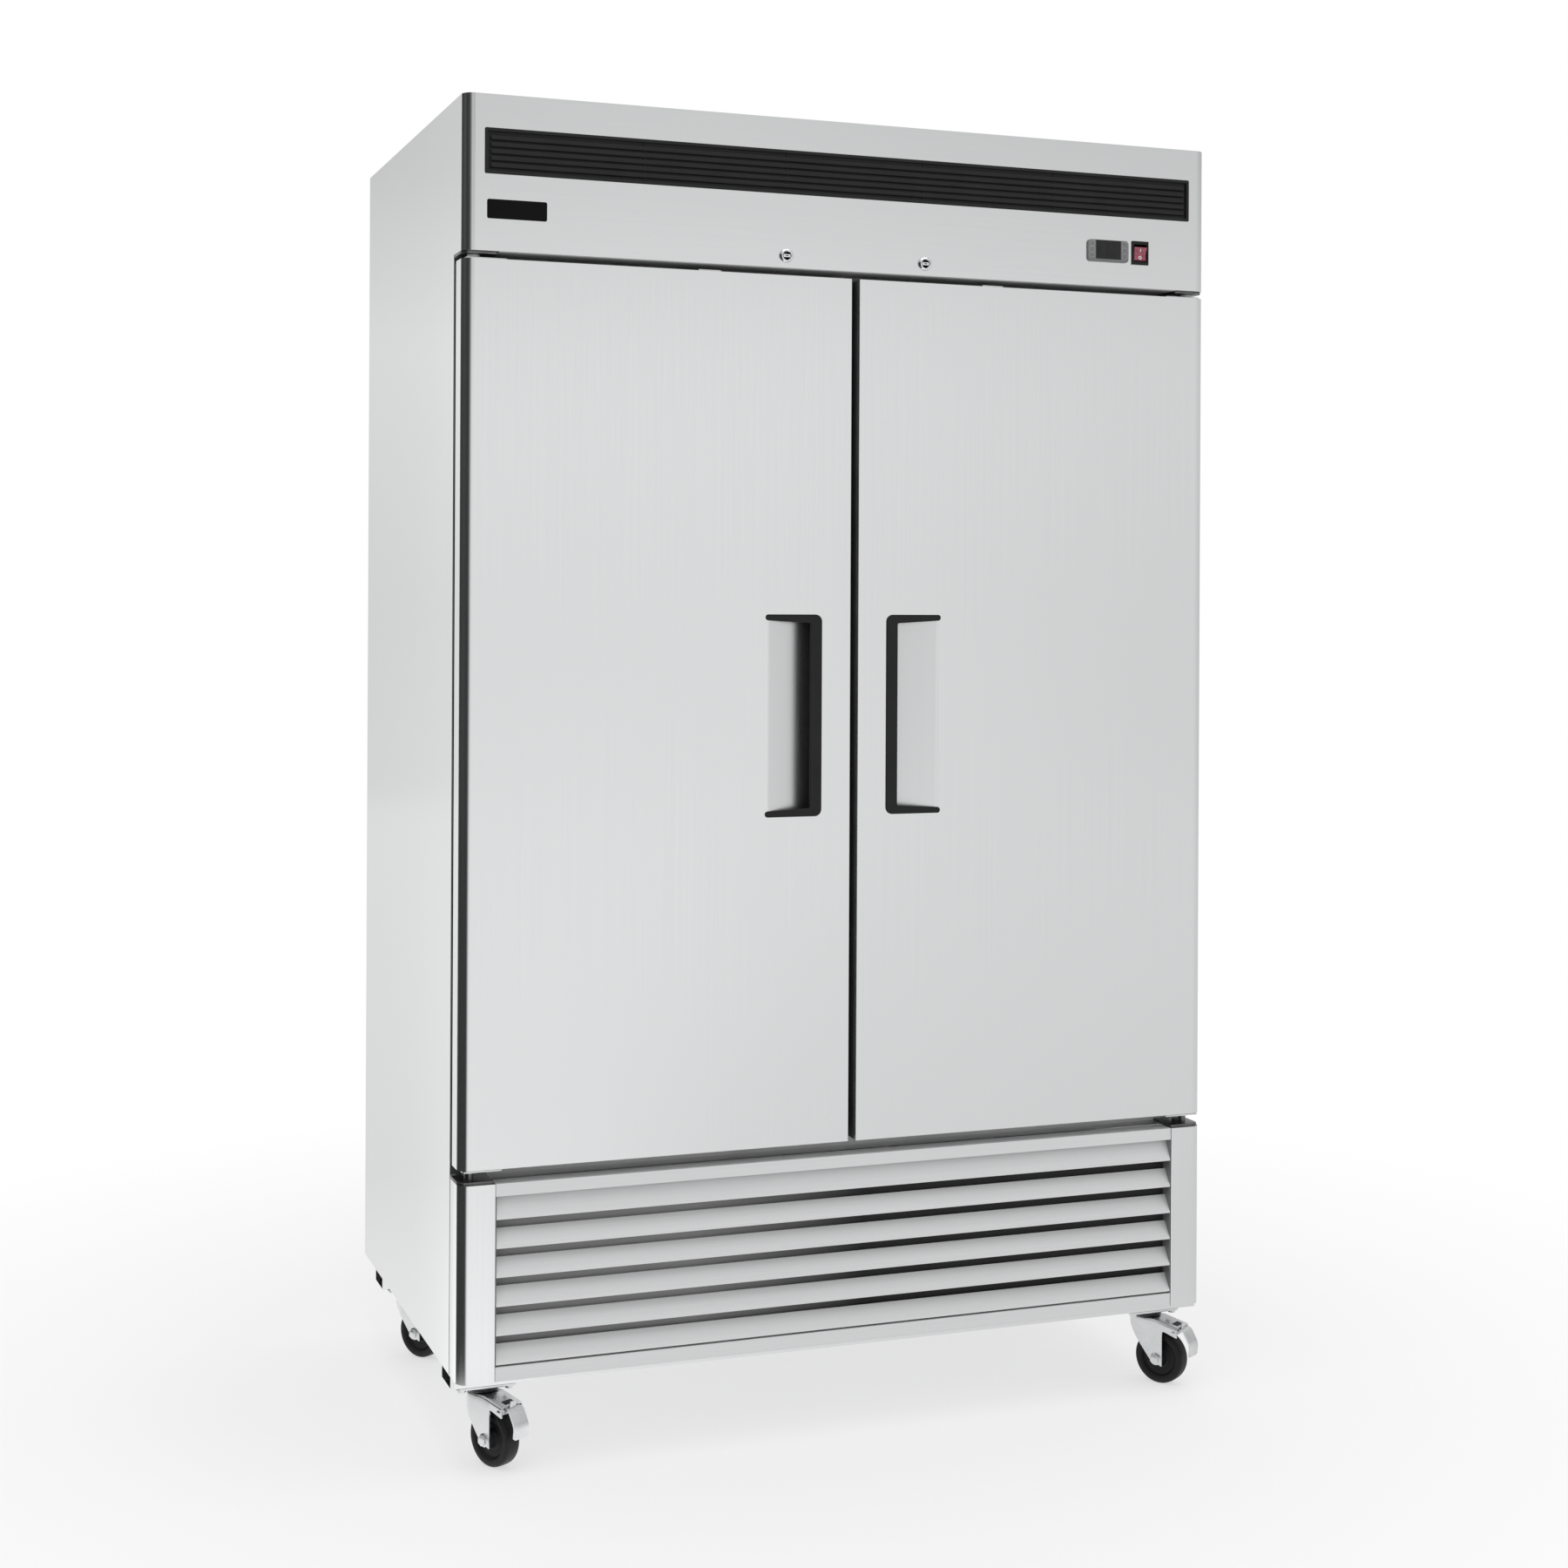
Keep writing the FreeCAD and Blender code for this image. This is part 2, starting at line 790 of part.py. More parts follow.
def header_panel():
    body = new_node("header_panel")
    t = s.panel_sheet
    add(body, "z", z_header, z_top, rectangle(-half, y_front, half, y_face))
    cut(body, "z", z_header + t, z_top - t, rectangle(t - half, y_front + t, half - t, y_face))
    soften(body, s.corner_radius - t, ("z", t - half, y_front + t), ("z", half - t, y_front + t))
    soften(body, s.corner_radius, ("z", -half, y_front), ("z", half, y_front))
    rim = s.controller_rim
    controller_half = s.controller_width / 2 - rim
    switch_half = s.switch_opening_width / 2 + s.switch_wall
    cut(body, "y", y_front, y_front + t,
        rectangle(s.grille_rim - grille_half, grille_bottom + s.grille_rim,
                  grille_half - s.grille_rim, grille_top - s.grille_rim),
        rectangle(s.controller_offset - controller_half, controller_z - s.controller_height / 2 + rim,
                  s.controller_offset + controller_half, controller_z + s.controller_height / 2 - rim),
        rectangle(s.switch_offset - switch_half, switch_z - s.switch_opening_height / 2 - s.switch_wall,
                  s.switch_offset + switch_half, switch_z + s.switch_opening_height / 2 + s.switch_wall),
        *[disc(m * s.lock_offset, lock_z, s.lock_barrel_radius + s.lock_fit) for m in (-1, 1)])
    cut(body, "z", z_header, z_header + t,
        *[rectangle(m * cam_slot_near, cam_slot_front, m * cam_slot_far, cam_slot_back) for m in (-1, 1)])


def vent_grille():
    body = new_node("vent_grille")
    rim = s.grille_rim
    front = y_front - s.grille_proud
    add(body, "y", front, y_front, rectangle(-grille_half, grille_bottom, grille_half, grille_top))
    add(body, "y", y_front, y_front + s.grille_depth,
        rectangle(rim - grille_half, grille_bottom + rim, grille_half - rim, grille_top - rim))
    inset = grille_half - s.slot_inset
    low = grille_bottom + s.grille_frame
    first = cut(body, "y", front, y_front + s.grille_depth,
                rectangle(-inset, low, inset, low + s.slot_height))
    pattern(body, [first], grille_slot_count, s.slot_pitch, "Z_Axis")


def locks():
    barrels = []
    for side, m in (("left", -1), ("right", 1)):
        barrel = new_body(f"lock_barrel_{side}")
        x = m * s.lock_offset
        front = y_front - s.lock_projection
        back = y_front + s.lock_barrel_depth
        add(barrel, "y", front, y_front, disc(x, lock_z, s.lock_flange_radius))
        add(barrel, "y", y_front, back, disc(x, lock_z, s.lock_barrel_radius))
        cut(barrel, "y", front, back, disc(x, lock_z, s.lock_plug_radius + s.lock_fit))
        barrels.append(barrel)
        plug = new_node(f"lock_plug_{side}")
        cam_back = cam_y + s.cam_thickness
        add(plug, "y", front, cam_back, disc(x, lock_z, s.lock_plug_radius))
        add(plug, "y", cam_y, cam_back, rectangle(
            x, lock_z - s.cam_width / 2, x + m * s.cam_length, lock_z + s.cam_width / 2))
        cut(plug, "y", front, front + s.keyway_depth, rectangle(
            x - s.keyway_width / 2, lock_z - s.keyway_height / 2,
            x + s.keyway_width / 2, lock_z + s.keyway_height / 2))
    group("lock_barrels", barrels)


def key_places():
    for column, m in (("left", -1), ("right", 1)):
        for row, step in (("top", 1), ("middle", 0), ("bottom", -1)):
            level = controller_z + s.key_lift + step * s.key_pitch
            yield f"key_{column}_{row}", s.controller_offset + m * s.key_offset, level


def controller():
    case = new_node("controller_case")
    x = s.controller_offset
    front = y_front - s.controller_proud
    wide = s.controller_width / 2
    tall = s.controller_height / 2
    rim = s.controller_rim
    add(case, "y", front, y_front, rectangle(x - wide, controller_z - tall, x + wide, controller_z + tall))
    soften(case, s.controller_corner, *[("y", x + a * wide, controller_z + b * tall)
                                        for a in (-1, 1) for b in (-1, 1)])
    add(case, "y", y_front, y_front + s.controller_depth,
        rectangle(x - wide + rim, controller_z - tall + rim, x + wide - rim, controller_z + tall - rim))
    window_top = controller_z + tall - s.window_top_margin
    window = rectangle(x - s.window_width / 2, window_top - s.window_height, x + s.window_width / 2, window_top)
    cut(case, "y", front, front + s.window_thickness, window)
    pockets = []
    for label, key_x, key_z in key_places():
        key = new_node(label)
        key_front = front - s.key_proud
        a, b = s.key_width / 2, s.key_height / 2
        add(key, "y", key_front, key_front + s.key_thickness, rectangle(key_x - a, key_z - b, key_x + a, key_z + b))
        a, b = a + s.key_fit, b + s.key_fit
        pockets.append(rectangle(key_x - a, key_z - b, key_x + a, key_z + b))
    cut(case, "y", front, front + s.key_pocket, *pockets)
    display = new_node("display_window")
    add(display, "y", front, front + s.window_thickness, window)


def switch():
    bezel = new_node("switch_bezel")
    x = s.switch_offset
    front = y_front - s.switch_proud
    a, b = s.switch_width / 2, s.switch_height / 2
    add(bezel, "y", front, y_front, rectangle(x - a, switch_z - b, x + a, switch_z + b))
    open_a, open_b = s.switch_opening_width / 2, s.switch_opening_height / 2
    a, b = open_a + s.switch_wall, open_b + s.switch_wall
    back = y_front + s.switch_depth
    add(bezel, "y", y_front, back, rectangle(x - a, switch_z - b, x + a, switch_z + b))
    cut(bezel, "y", front, back - s.switch_wall,
        rectangle(x - open_a, switch_z - open_b, x + open_a, switch_z + open_b))
    pivot = y_front + s.rocker_pivot_depth
    pin_end = open_a + s.rocker_pin_reach
    pin_hole = pin_end + s.rocker_pin_fit
    cut(bezel, "x", x - pin_hole, x + pin_hole, disc(pivot, switch_z, s.rocker_pin_radius + s.rocker_pin_fit))
    rocker = new_node("power_rocker")
    side = open_a - s.rocker_fit
    tip = s.rocker_length / 2
    add(rocker, "x", -side, side, [
        (-s.rocker_front, -tip),
        (s.rocker_valley - s.rocker_front, 0),
        (-s.rocker_front, tip),
        (0, tip),
        (s.rocker_back, 0),
        (0, -tip),
    ])
    add(rocker, "x", -pin_end, pin_end, disc(0, 0, s.rocker_pin_radius))
    place(rocker, x, pivot, switch_z, axis="x", turn=s.rocker_tilt)


# Hinges

def hinge_brackets():
    members = []
    for side, m in (("left", -1), ("right", 1)):
        plan = rectangle(m * half, y_front + s.bracket_front, m * (half - s.bracket_length), y_face)
        pin = disc(m * pivot_x, pivot_y, s.pin_radius)
        low = new_body(f"hinge_bracket_low_{side}")
        add(low, "z", z_sill, z_sill + s.bracket_thickness, plan)
        add(low, "z", z_sill + s.bracket_thickness, z_door + s.pin_reach, pin)
        high = new_body(f"hinge_bracket_high_{side}")
        add(high, "z", z_header - s.bracket_thickness, z_header, plan)
        add(high, "z", z_door_top - s.pin_reach, z_header - s.bracket_thickness, pin)
        members += [low, high]
    group("hinge_brackets", members)


def door_hardware(side, m):
    members = []
    hinge_plan = rectangle(
        m * (half - s.hinge_plate_inset), y_front + s.hinge_plate_front,
        m * (half - s.hinge_plate_inset - s.hinge_plate_length), y_door_back - s.hinge_plate_back)
    glide_plan = rectangle(
        m * s.glide_inner, y_front + s.glide_front,
        m * (s.glide_inner + s.glide_length), y_front + s.glide_front + s.glide_width)
    stop_plan = rectangle(
        m * s.stop_inner, y_front + s.stop_front,
        m * (s.stop_inner + s.stop_length), y_front + s.stop_front + s.glide_width)
    bush = disc(m * pivot_x, pivot_y, s.pin_radius + s.pin_fit)
    plates = (
        ("hinge_plate_low", z_door - s.hinge_plate_thickness, z_door, (hinge_plan, bush)),
        ("hinge_plate_high", z_door_top, z_door_top + s.hinge_plate_thickness, (hinge_plan, bush)),
        ("glide_plate", z_door - s.glide_thickness, z_door, (glide_plan,)),
        ("stop_plate", z_door_top, z_door_top + s.glide_thickness, (stop_plan,)),
    )
    for name, low, high, loops in plates:
        plate = new_body(f"{name}_{side}")
        add(plate, "z", low, high, *loops)
        members.append(plate)
    group(f"door_hardware_{side}", members)


# Doors

handle_low = z_door + s.handle_rise
handle_high = handle_low + s.handle_height
scoop_low = handle_low + s.scoop_lap
scoop_high = handle_high - s.scoop_lap


def across(m, distance):
    return m * (free_edge + s.handle_edge + distance)


def scoop_profile(m, grow):
    far = s.handle_width - s.scoop_lap - s.scoop_end_inset
    return [
        (across(m, s.scoop_lap - grow), y_front),
        (across(m, s.scoop_lap - grow), y_front + s.scoop_depth + grow),
        (across(m, s.scoop_lap + s.scoop_flat), y_front + s.scoop_depth + grow),
        (across(m, far + grow + grow), y_front),
    ]


def door_skin(side, m):
    body = new_node(f"door_skin_{side}")
    t = s.panel_sheet
    add(body, "z", z_door, z_door_top, rectangle(m * free_edge, y_front, m * half, y_door_back))
    cut(body, "z", z_door + t, z_door_top - t,
        rectangle(m * (free_edge + t), y_front + t, m * (half - t), y_door_back))
    soften(body, s.corner_radius - t, ("z", m * (half - t), y_front + t))
    soften(body, s.corner_radius, ("z", m * half, y_front))
    soften(body, s.free_edge_radius, ("z", m * free_edge, y_front))
    add(body, "z", scoop_low - t, scoop_high + t, scoop_profile(m, t))
    cut(body, "z", scoop_low, scoop_high, scoop_profile(m, 0))
    pin_hole = disc(m * pivot_x, pivot_y, s.pin_hole_radius)
    cut(body, "z", z_door, z_door + t, pin_hole)
    cam_slot = rectangle(m * cam_slot_near, cam_slot_front, m * cam_slot_far, cam_slot_back)
    cut(body, "z", z_door_top - t, z_door_top, pin_hole, cam_slot)


def door_liner(side, m):
    """The core is laid in blocks round the scoop and the cam slot, with the raised inner panel on its back."""
    t = s.panel_sheet
    front, back = y_front + t, y_door_back
    near, far = free_edge + t, half - t
    low, high = z_door + t, z_door_top - t
    scoop_start, scoop_end = scoop_low - t, scoop_high + t
    pocket = free_edge + s.handle_edge + s.scoop_lap - t
    ledge = free_edge + s.handle_edge + s.scoop_lap + s.scoop_flat
    pocket_floor = y_front + s.scoop_depth + t
    top_start = z_door_top - s.pin_hole_depth
    slot_floor = lock_z - s.cam_length - s.cam_slot_clearance
    slot = (cam_slot_near, cam_slot_far)
    blocks = (
        ("below_scoop", low, scoop_start, (near, far), (front, back)),
        ("beside_scoop", scoop_start, scoop_end, (near, pocket), (front, back)),
        ("behind_scoop", scoop_start, scoop_end, (pocket, ledge), (pocket_floor, back)),
        ("beyond_scoop", scoop_start, scoop_end, (ledge, far), (front, back)),
        ("above_scoop", scoop_end, top_start, (near, far), (front, back)),
        ("beside_slot", top_start, high, (near, cam_slot_near), (front, back)),
        ("before_slot", top_start, high, slot, (front, cam_slot_front)),
        ("under_slot", top_start, slot_floor, slot, (cam_slot_front, cam_slot_back)),
        ("behind_slot", top_start, high, slot, (cam_slot_back, back)),
        ("beyond_slot", top_start, high, (cam_slot_far, far), (front, back)),
    )
    core = {}
    for name, bottom, top, (x0, x1), (y0, y1) in blocks:
        block = new_body(f"core_{name}_{side}")
        add(block, "z", bottom, top, rectangle(m * x0, y0, m * x1, y1))
        core[name] = block
    for name in ("below_scoop", "beyond_scoop", "above_scoop", "beyond_slot"):
        soften(core[name], s.corner_radius - t, ("z", m * far, front))
    cut(core["beyond_scoop"], "z", scoop_start, scoop_end, scoop_profile(m, t))
    pin_hole = disc(m * pivot_x, pivot_y, s.pin_hole_radius)
    cut(core["below_scoop"], "z", low, z_door + s.pin_hole_depth, pin_hole)
    cut(core["beyond_slot"], "z", top_start, high, pin_hole)
    margin = s.gasket_width + s.plateau_margin
    inner, outer = free_edge + s.gasket_free_inset + margin, half - s.gasket_hinge_inset - margin
    bottom, top = z_door + s.gasket_end_inset + margin, z_door_top - s.gasket_end_inset - margin
    raised = back + s.plateau_height
    panel = new_body(f"inner_panel_{side}")
    add(panel, "y", back, raised, rectangle(m * inner, bottom, m * outer, top))
    soften_face(panel, "y", raised, s.plateau_rounding)
    group(f"door_liner_{side}", [*core.values(), panel])


def door_gasket(side, m):
    body = new_node(f"door_gasket_{side}")

    def ring(low, high, outer, inner):
        loops = [
            rectangle(m * (free_edge + s.gasket_free_inset + inset), z_door + s.gasket_end_inset + inset,
                      m * (half - s.gasket_hinge_inset - inset), z_door_top - s.gasket_end_inset - inset)
            for inset in (outer, inner)
        ]
        add(body, "y", low, high, *loops)

    foot = y_door_back + s.gasket_foot
    tip = y_face - s.gasket_clearance
    ring(y_door_back, foot, 0, s.gasket_width)
    ring(foot, tip, s.gasket_step, s.gasket_width - s.gasket_step)
    soften_face(body, "y", tip, s.gasket_rounding)


def door_handle(side, m):
    """A grip bar with an arm at each end, over a lining and two cheeks that close the scoop."""
    proud = y_front - s.handle_proud
    fit = s.handle_fit
    arm = s.handle_arm
    wall = s.scoop_lap + fit
    deep = y_front + s.scoop_depth - fit
    grip = y_front + s.handle_grip
    low, high = handle_low + arm, handle_high - arm
    bar = new_body(f"handle_bar_{side}")
    add(bar, "y", proud, y_front, rectangle(across(m, 0), handle_low, across(m, s.handle_bar), handle_high))
    soften(bar, s.handle_corner, ("y", across(m, 0), handle_low), ("y", across(m, 0), handle_high))
    soften(bar, s.handle_rounding, ("z", across(m, 0), proud))
    add(bar, "z", low, high, rectangle(across(m, wall), y_front, across(m, s.handle_bar), grip))
    lining = new_body(f"handle_lining_{side}")
    add(lining, "z", low, high, rectangle(across(m, wall), grip, across(m, wall + s.handle_wall), deep))
    cheek_profile = [
        (across(m, wall), y_front),
        (across(m, wall), deep),
        (across(m, s.scoop_lap + s.scoop_flat - fit), deep),
        (across(m, s.handle_width - s.scoop_lap - s.scoop_end_inset - fit - fit), y_front),
    ]
    members = [bar, lining]
    for end, edge, way, bottom, top in (
        ("low", handle_low, 1, scoop_low + fit, low),
        ("high", handle_high, -1, high, scoop_high - fit),
    ):
        plate = new_body(f"handle_arm_{end}_{side}")
        add(plate, "y", proud, y_front, [
            (across(m, s.handle_bar), edge),
            (across(m, s.handle_width), edge),
            (across(m, s.handle_width), edge + way * arm),
            (across(m, s.handle_bar), edge + way * s.handle_arm_root),
        ])
        soften(plate, s.handle_rounding, ("x", proud, edge))
        cheek = new_body(f"handle_cheek_{end}_{side}")
        add(cheek, "z", bottom, top, cheek_profile)
        members += [plate, cheek]
    group(f"door_handle_{side}", members)


# Castors

castor_x = half - s.castor_inset
fork_top = s.castor_height - s.castor_plate_thickness - s.race_height - s.swivel_gap
fork_half = s.fork_inside / 2 + s.fork_sheet


def castor_places():
    front_row, rear_row = (start + s.channel_width / 2 for start in channel_starts())
    yield "front_left", -castor_x, front_row, s.castor_turn_front_left, True
    yield "front_right", castor_x, front_row, s.castor_turn_front_right, True
    yield "rear_left", -castor_x, rear_row, s.castor_turn_rear_left, False
    yield "rear_right", castor_x, rear_row, s.castor_turn_rear_right, False


def castor_plate(name, x, y):
    body = new_body(f"castor_plate_{name}")
    low = s.castor_height - s.castor_plate_thickness
    a, b = s.castor_plate_length / 2, s.castor_plate_width / 2
    add(body, "z", low, s.castor_height, rectangle(-a, -b, a, b))
    race_low = low - s.race_height
    add(body, "z", race_low, low, disc(0, 0, s.race_radius))
    head_top = fork_top - s.fork_sheet - s.swivel_gap
    head_low = head_top - s.king_pin_head
    add(body, "z", head_low, race_low, disc(0, 0, s.king_pin_radius))
    add(body, "z", head_low, head_top, disc(0, 0, s.king_pin_head_radius))
    place(body, x, y)
    return body


def castor_fork(name, x, y, turn, braked):
    nose = s.nose_front if braked else s.nose_back
    depth = s.nose_depth if braked else s.nose_back_depth
    drop = s.nose_drop
    axle = s.wheel_radius
    trail = s.castor_trail
    fork = new_body(f"fork_{name}")
    add(fork, "y", -fork_half, fork_half, [
        (-s.fork_back, fork_top),
        (s.nose_start, fork_top),
        (nose, fork_top - drop),
        (nose, fork_top - drop - depth),
        (trail + s.fork_leg_front, fork_top - drop - depth / 2),
        (trail + s.fork_leg_front, axle - s.fork_toe),
        (trail - s.fork_eye, axle - s.fork_heel),
        (-s.fork_back + s.fork_slope, fork_top - s.fork_shoulder),
        (-s.fork_back, fork_top - s.fork_shoulder / 2),
    ])
    soften(fork, s.fork_bend, ("x", -fork_half, fork_top), ("x", fork_half, fork_top))
    inside = s.fork_inside / 2
    under = fork_top - s.fork_sheet
    cut(fork, "y", -inside, inside, [
        (-s.fork_back - s.fork_sheet, under),
        (s.nose_start - s.fork_sheet, under),
        (nose, under - drop),
        (nose, 0),
        (-s.fork_back - s.fork_sheet, 0),
    ])
    add(fork, "z", under, fork_top, disc(0, 0, s.fork_crown_radius))
    cut(fork, "z", under, fork_top, disc(0, 0, s.king_pin_radius + s.swivel_fit))
    cut(fork, "y", -fork_half, fork_half, disc(trail, axle, s.axle_radius + s.axle_fit))
    if braked:
        cut(fork, "y", -fork_half, fork_half,
            disc(nose - s.pedal_pivot_back, fork_top - s.pedal_pivot_drop, s.pedal_pin_radius + s.pedal_pin_fit))
    bolt = new_body(f"axle_bolt_{name}")
    add(bolt, "y", -fork_half, fork_half + s.axle_head, disc(trail, axle, s.axle_radius))
    add(bolt, "y", -fork_half - s.axle_head, -fork_half, hexagon(trail, axle, s.axle_hex))
    nut = new_body(f"axle_nut_{name}")
    add(nut, "y", fork_half, fork_half + s.axle_head, hexagon(trail, axle, s.axle_hex),
        disc(trail, axle, s.axle_radius + s.axle_fit))
    for member in (fork, bolt, nut):
        place(member, x, y, turn=turn)
    group(f"castor_fork_{name}", [fork, bolt, nut])


def castor_wheel(name, x, y, turn):
    body = new_node(f"castor_wheel_{name}")
    hub, rim = s.wheel_hub_width / 2, s.wheel_width / 2
    web = rim - s.wheel_dish
    inner, outer = s.wheel_hub_radius, s.wheel_radius - s.wheel_rim
    bore = s.axle_radius + s.axle_fit
    side = [
        (bore, hub),
        (inner, hub),
        (inner + s.wheel_edge, web),
        (outer, web),
        (outer + s.wheel_edge, rim),
        (s.wheel_radius - s.wheel_edge, rim),
        (s.wheel_radius, rim - s.wheel_edge),
    ]
    turned(body, "y", side + [(r, -w) for r, w in reversed(side)])
    add_offset(body, s.castor_trail, s.wheel_radius)
    place(body, x, y, turn=turn)


def add_offset(body, x, z):
    sketch = body.Tip.Profile[0]
    turn = sketch.AttachmentOffset.Rotation
    sketch.AttachmentOffset = FreeCAD.Placement(FreeCAD.Vector(number(x), 0, number(z)), turn)
    bind(sketch, "AttachmentOffset.Base.x", x)
    bind(sketch, "AttachmentOffset.Base.z", z)


def brake_pedal(name, x, y, turn):
    body = new_node(f"brake_pedal_{name}")
    pivot_at = s.nose_front - s.pedal_pivot_back
    pivot_z = fork_top - s.pedal_pivot_drop
    t = s.pedal_sheet
    add(body, "y", -s.pedal_half_width, s.pedal_half_width, [
        (pivot_at - t, pivot_z + t),
        (pivot_at + s.pedal_knee, pivot_z + t),
        (pivot_at + s.pedal_knee + t, pivot_z),
        (pivot_at + s.pedal_reach + t, pivot_z - s.pedal_drop),
        (pivot_at + s.pedal_reach - t / 2, pivot_z - s.pedal_drop),
        (pivot_at + s.pedal_knee - t / 2, pivot_z - t),
        (pivot_at - t, pivot_z - t),
    ])
    add(body, "y", -fork_half, fork_half, disc(pivot_at, pivot_z, s.pedal_pin_radius))
    place(body, x, y, turn=turn)


def castors():
    plates = []
    for name, x, y, turn, braked in castor_places():
        plates.append(castor_plate(name, x, y))
        castor_fork(name, x, y, turn, braked)
        castor_wheel(name, x, y, turn)
        if braked:
            brake_pedal(name, x, y, turn)
    group("castor_plates", plates)


# Fans, shared by the machine compartment and the cold space

def fan(label, radius, x, y, z):
    body = new_node(label)
    half_hub = s.hub_length / 2
    add(body, "z", -half_hub, half_hub, disc(0, 0, s.hub_radius), disc(0, 0, s.shaft_radius + s.shaft_fit))
    t = s.blade_sheet / 2
    sections = []
    for level, chord, pitch in ((s.hub_radius - t, s.root_chord, s.root_pitch), (radius, s.tip_chord, s.tip_pitch)):
        a, b = chord / 2, pitch / 2
        section = [(-a, -b - t), (a, b - t), (a, b + t), (-a, t - b)]
        sections.append(loops_sketch(body, "YZ_Plane", level, [section]))
    blade = body.newObject("PartDesign::AdditiveLoft", f"{label}_blade")
    blade.Profile = sections[0]
    blade.Sections = sections[1:]
    blade.Ruled = True
    doc.recompute()
    ring = body.newObject("PartDesign::PolarPattern", f"{label}_blades")
    ring.Originals = [blade]
    ring.Axis = (next(f for f in body.Origin.OriginFeatures if f.Role == "Z_Axis"), [""])
    ring.Angle = 360
    ring.Occurrences = fan_blade_count
    body.Tip = ring
    place(body, x, y, z, axis="x", turn=90)


def fan_motor(label, x, y_blades, z, wall, ring_radius):
    """A motor behind the blades, with its shaft through the hub and struts out to the ring at wall."""
    motor = new_body(f"{label}_motor")
    near = y_blades + s.hub_length / 2 + s.motor_gap
    far = near + s.motor_length
    add(motor, "y", near, far, disc(x, z, s.motor_radius))
    add(motor, "y", y_blades - s.hub_length / 2, near, disc(x, z, s.shaft_radius))
    reach = ring_radius + s.fan_tip_gap
    w = s.strut_width / 2
    add(motor, "y", far - s.strut_width, far, rectangle(x - reach, z - w, x + reach, z + w))
    for m in (-1, 1):
        foot = rectangle(x + m * reach, z - w, x + m * (reach + s.housing_sheet * 2), z + w)
        add(motor, "y", wall, far, foot)
    return motor


# Machine compartment

condenser_mid = -s.condenser_left + s.condenser_width / 2
condenser_y = y_front + s.condenser_front
condenser_back = condenser_y + s.condenser_thickness
condenser_z = z_plinth + s.condenser_height / 2
condenser_fan_y = condenser_back + s.housing_depth / 2


def condenser():
    left = -s.condenser_left
    right = left + s.condenser_width
    top = z_plinth + s.condenser_height
    members = []
    pack = new_body("fin_pack")
    add(pack, "x", left + s.end_plate, right - s.end_plate, rectangle(condenser_y, z_plinth, condenser_back, top))
    members.append(pack)
    for name, low in (("left", left), ("right", right - s.end_plate)):
        plate = new_body(f"condenser_end_{name}")
        add(plate, "x", low, low + s.end_plate, rectangle(condenser_y, z_plinth, condenser_back, top))
        members.append(plate)
    middle = condenser_y + s.condenser_thickness / 2
    for i in range(bend_count):
        bend = doc.addObject("Part::Torus", f"return_bend_{i + 1}")
        bend.Radius1 = s.bend_radius.value
        bend.Radius2 = s.bend_tube.value
        bind(bend, "Radius1", s.bend_radius)
        bind(bend, "Radius2", s.bend_tube)
        bend.Angle3 = 180
        height = z_plinth + s.bend_pitch * (i + 0.5)
        bend.Placement = FreeCAD.Placement(
            FreeCAD.Vector(right.value, middle.value, height.value),
            FreeCAD.Rotation(FreeCAD.Vector(0, 0, 1), FreeCAD.Vector(0, 1, 0), FreeCAD.Vector(1, 0, 0), "ZXY"))
        bind(bend, "Placement.Base.x", right)
        bind(bend, "Placement.Base.y", middle)
        bind(bend, "Placement.Base.z", height)
        members.append(bend)
    group("condenser_coil", members)


def condenser_fan_set():
    left = -s.condenser_left
    right = left + s.condenser_width
    top = z_plinth + s.condenser_height
    t = s.housing_sheet
    back = condenser_back + s.housing_depth
    housing = new_body("fan_shroud")
    add(housing, "y", condenser_back, back, rectangle(left, z_plinth, right, top))
    cut(housing, "y", condenser_back, back - t, rectangle(left + t, z_plinth + t, right - t, top - t))
    cut(housing, "y", back - t, back, disc(condenser_mid, condenser_z, s.fan_radius + s.fan_tip_gap))
    motor = fan_motor("condenser_fan", condenser_mid, condenser_fan_y, condenser_z, back, s.fan_radius)
    group("condenser_fan_housing", [housing, motor])
    fan("condenser_fan", s.fan_radius, condenser_mid, condenser_fan_y, condenser_z)


compressor_y = y_front + s.compressor_setback


def compressor():
    shell = new_body("compressor_shell")
    low = s.foot_height
    high = low + s.shell_height
    seam = low + s.shell_seam
    radius = s.shell_radius
    turned(shell, "z", [
        (0, low),
        (radius - s.shell_dome, low),
        (radius, low + s.shell_dome),
        (radius, seam),
        (radius + s.shell_rim, seam),
        (radius + s.shell_rim, seam + s.shell_rim),
        (radius, seam + s.shell_rim),
        (radius, high - s.shell_dome),
        (radius - s.shell_dome, high),
        (0, high),
    ])
    soften_rings(shell, s.shell_rounding, low, low + s.shell_dome, high - s.shell_dome, high)
    foot = new_body("compressor_foot")
    a, b = s.foot_length / 2, s.foot_width / 2
    add(foot, "z", s.foot_height - s.foot_sheet, s.foot_height, rectangle(-a, -b, a, b))
    members = [shell, foot]
    for i, (p, q) in enumerate(((-1, -1), (1, -1), (1, 1), (-1, 1)), start=1):
        grommet = new_body(f"grommet_{i}")
        spot = disc(p * (a - s.grommet_radius), q * (b - s.grommet_radius), s.grommet_radius)
        add(grommet, "z", 0, s.foot_height - s.foot_sheet, spot)
        members.append(grommet)
    for member in members:
        place(member, s.compressor_offset, compressor_y, z_plinth)
    group("compressor", members)


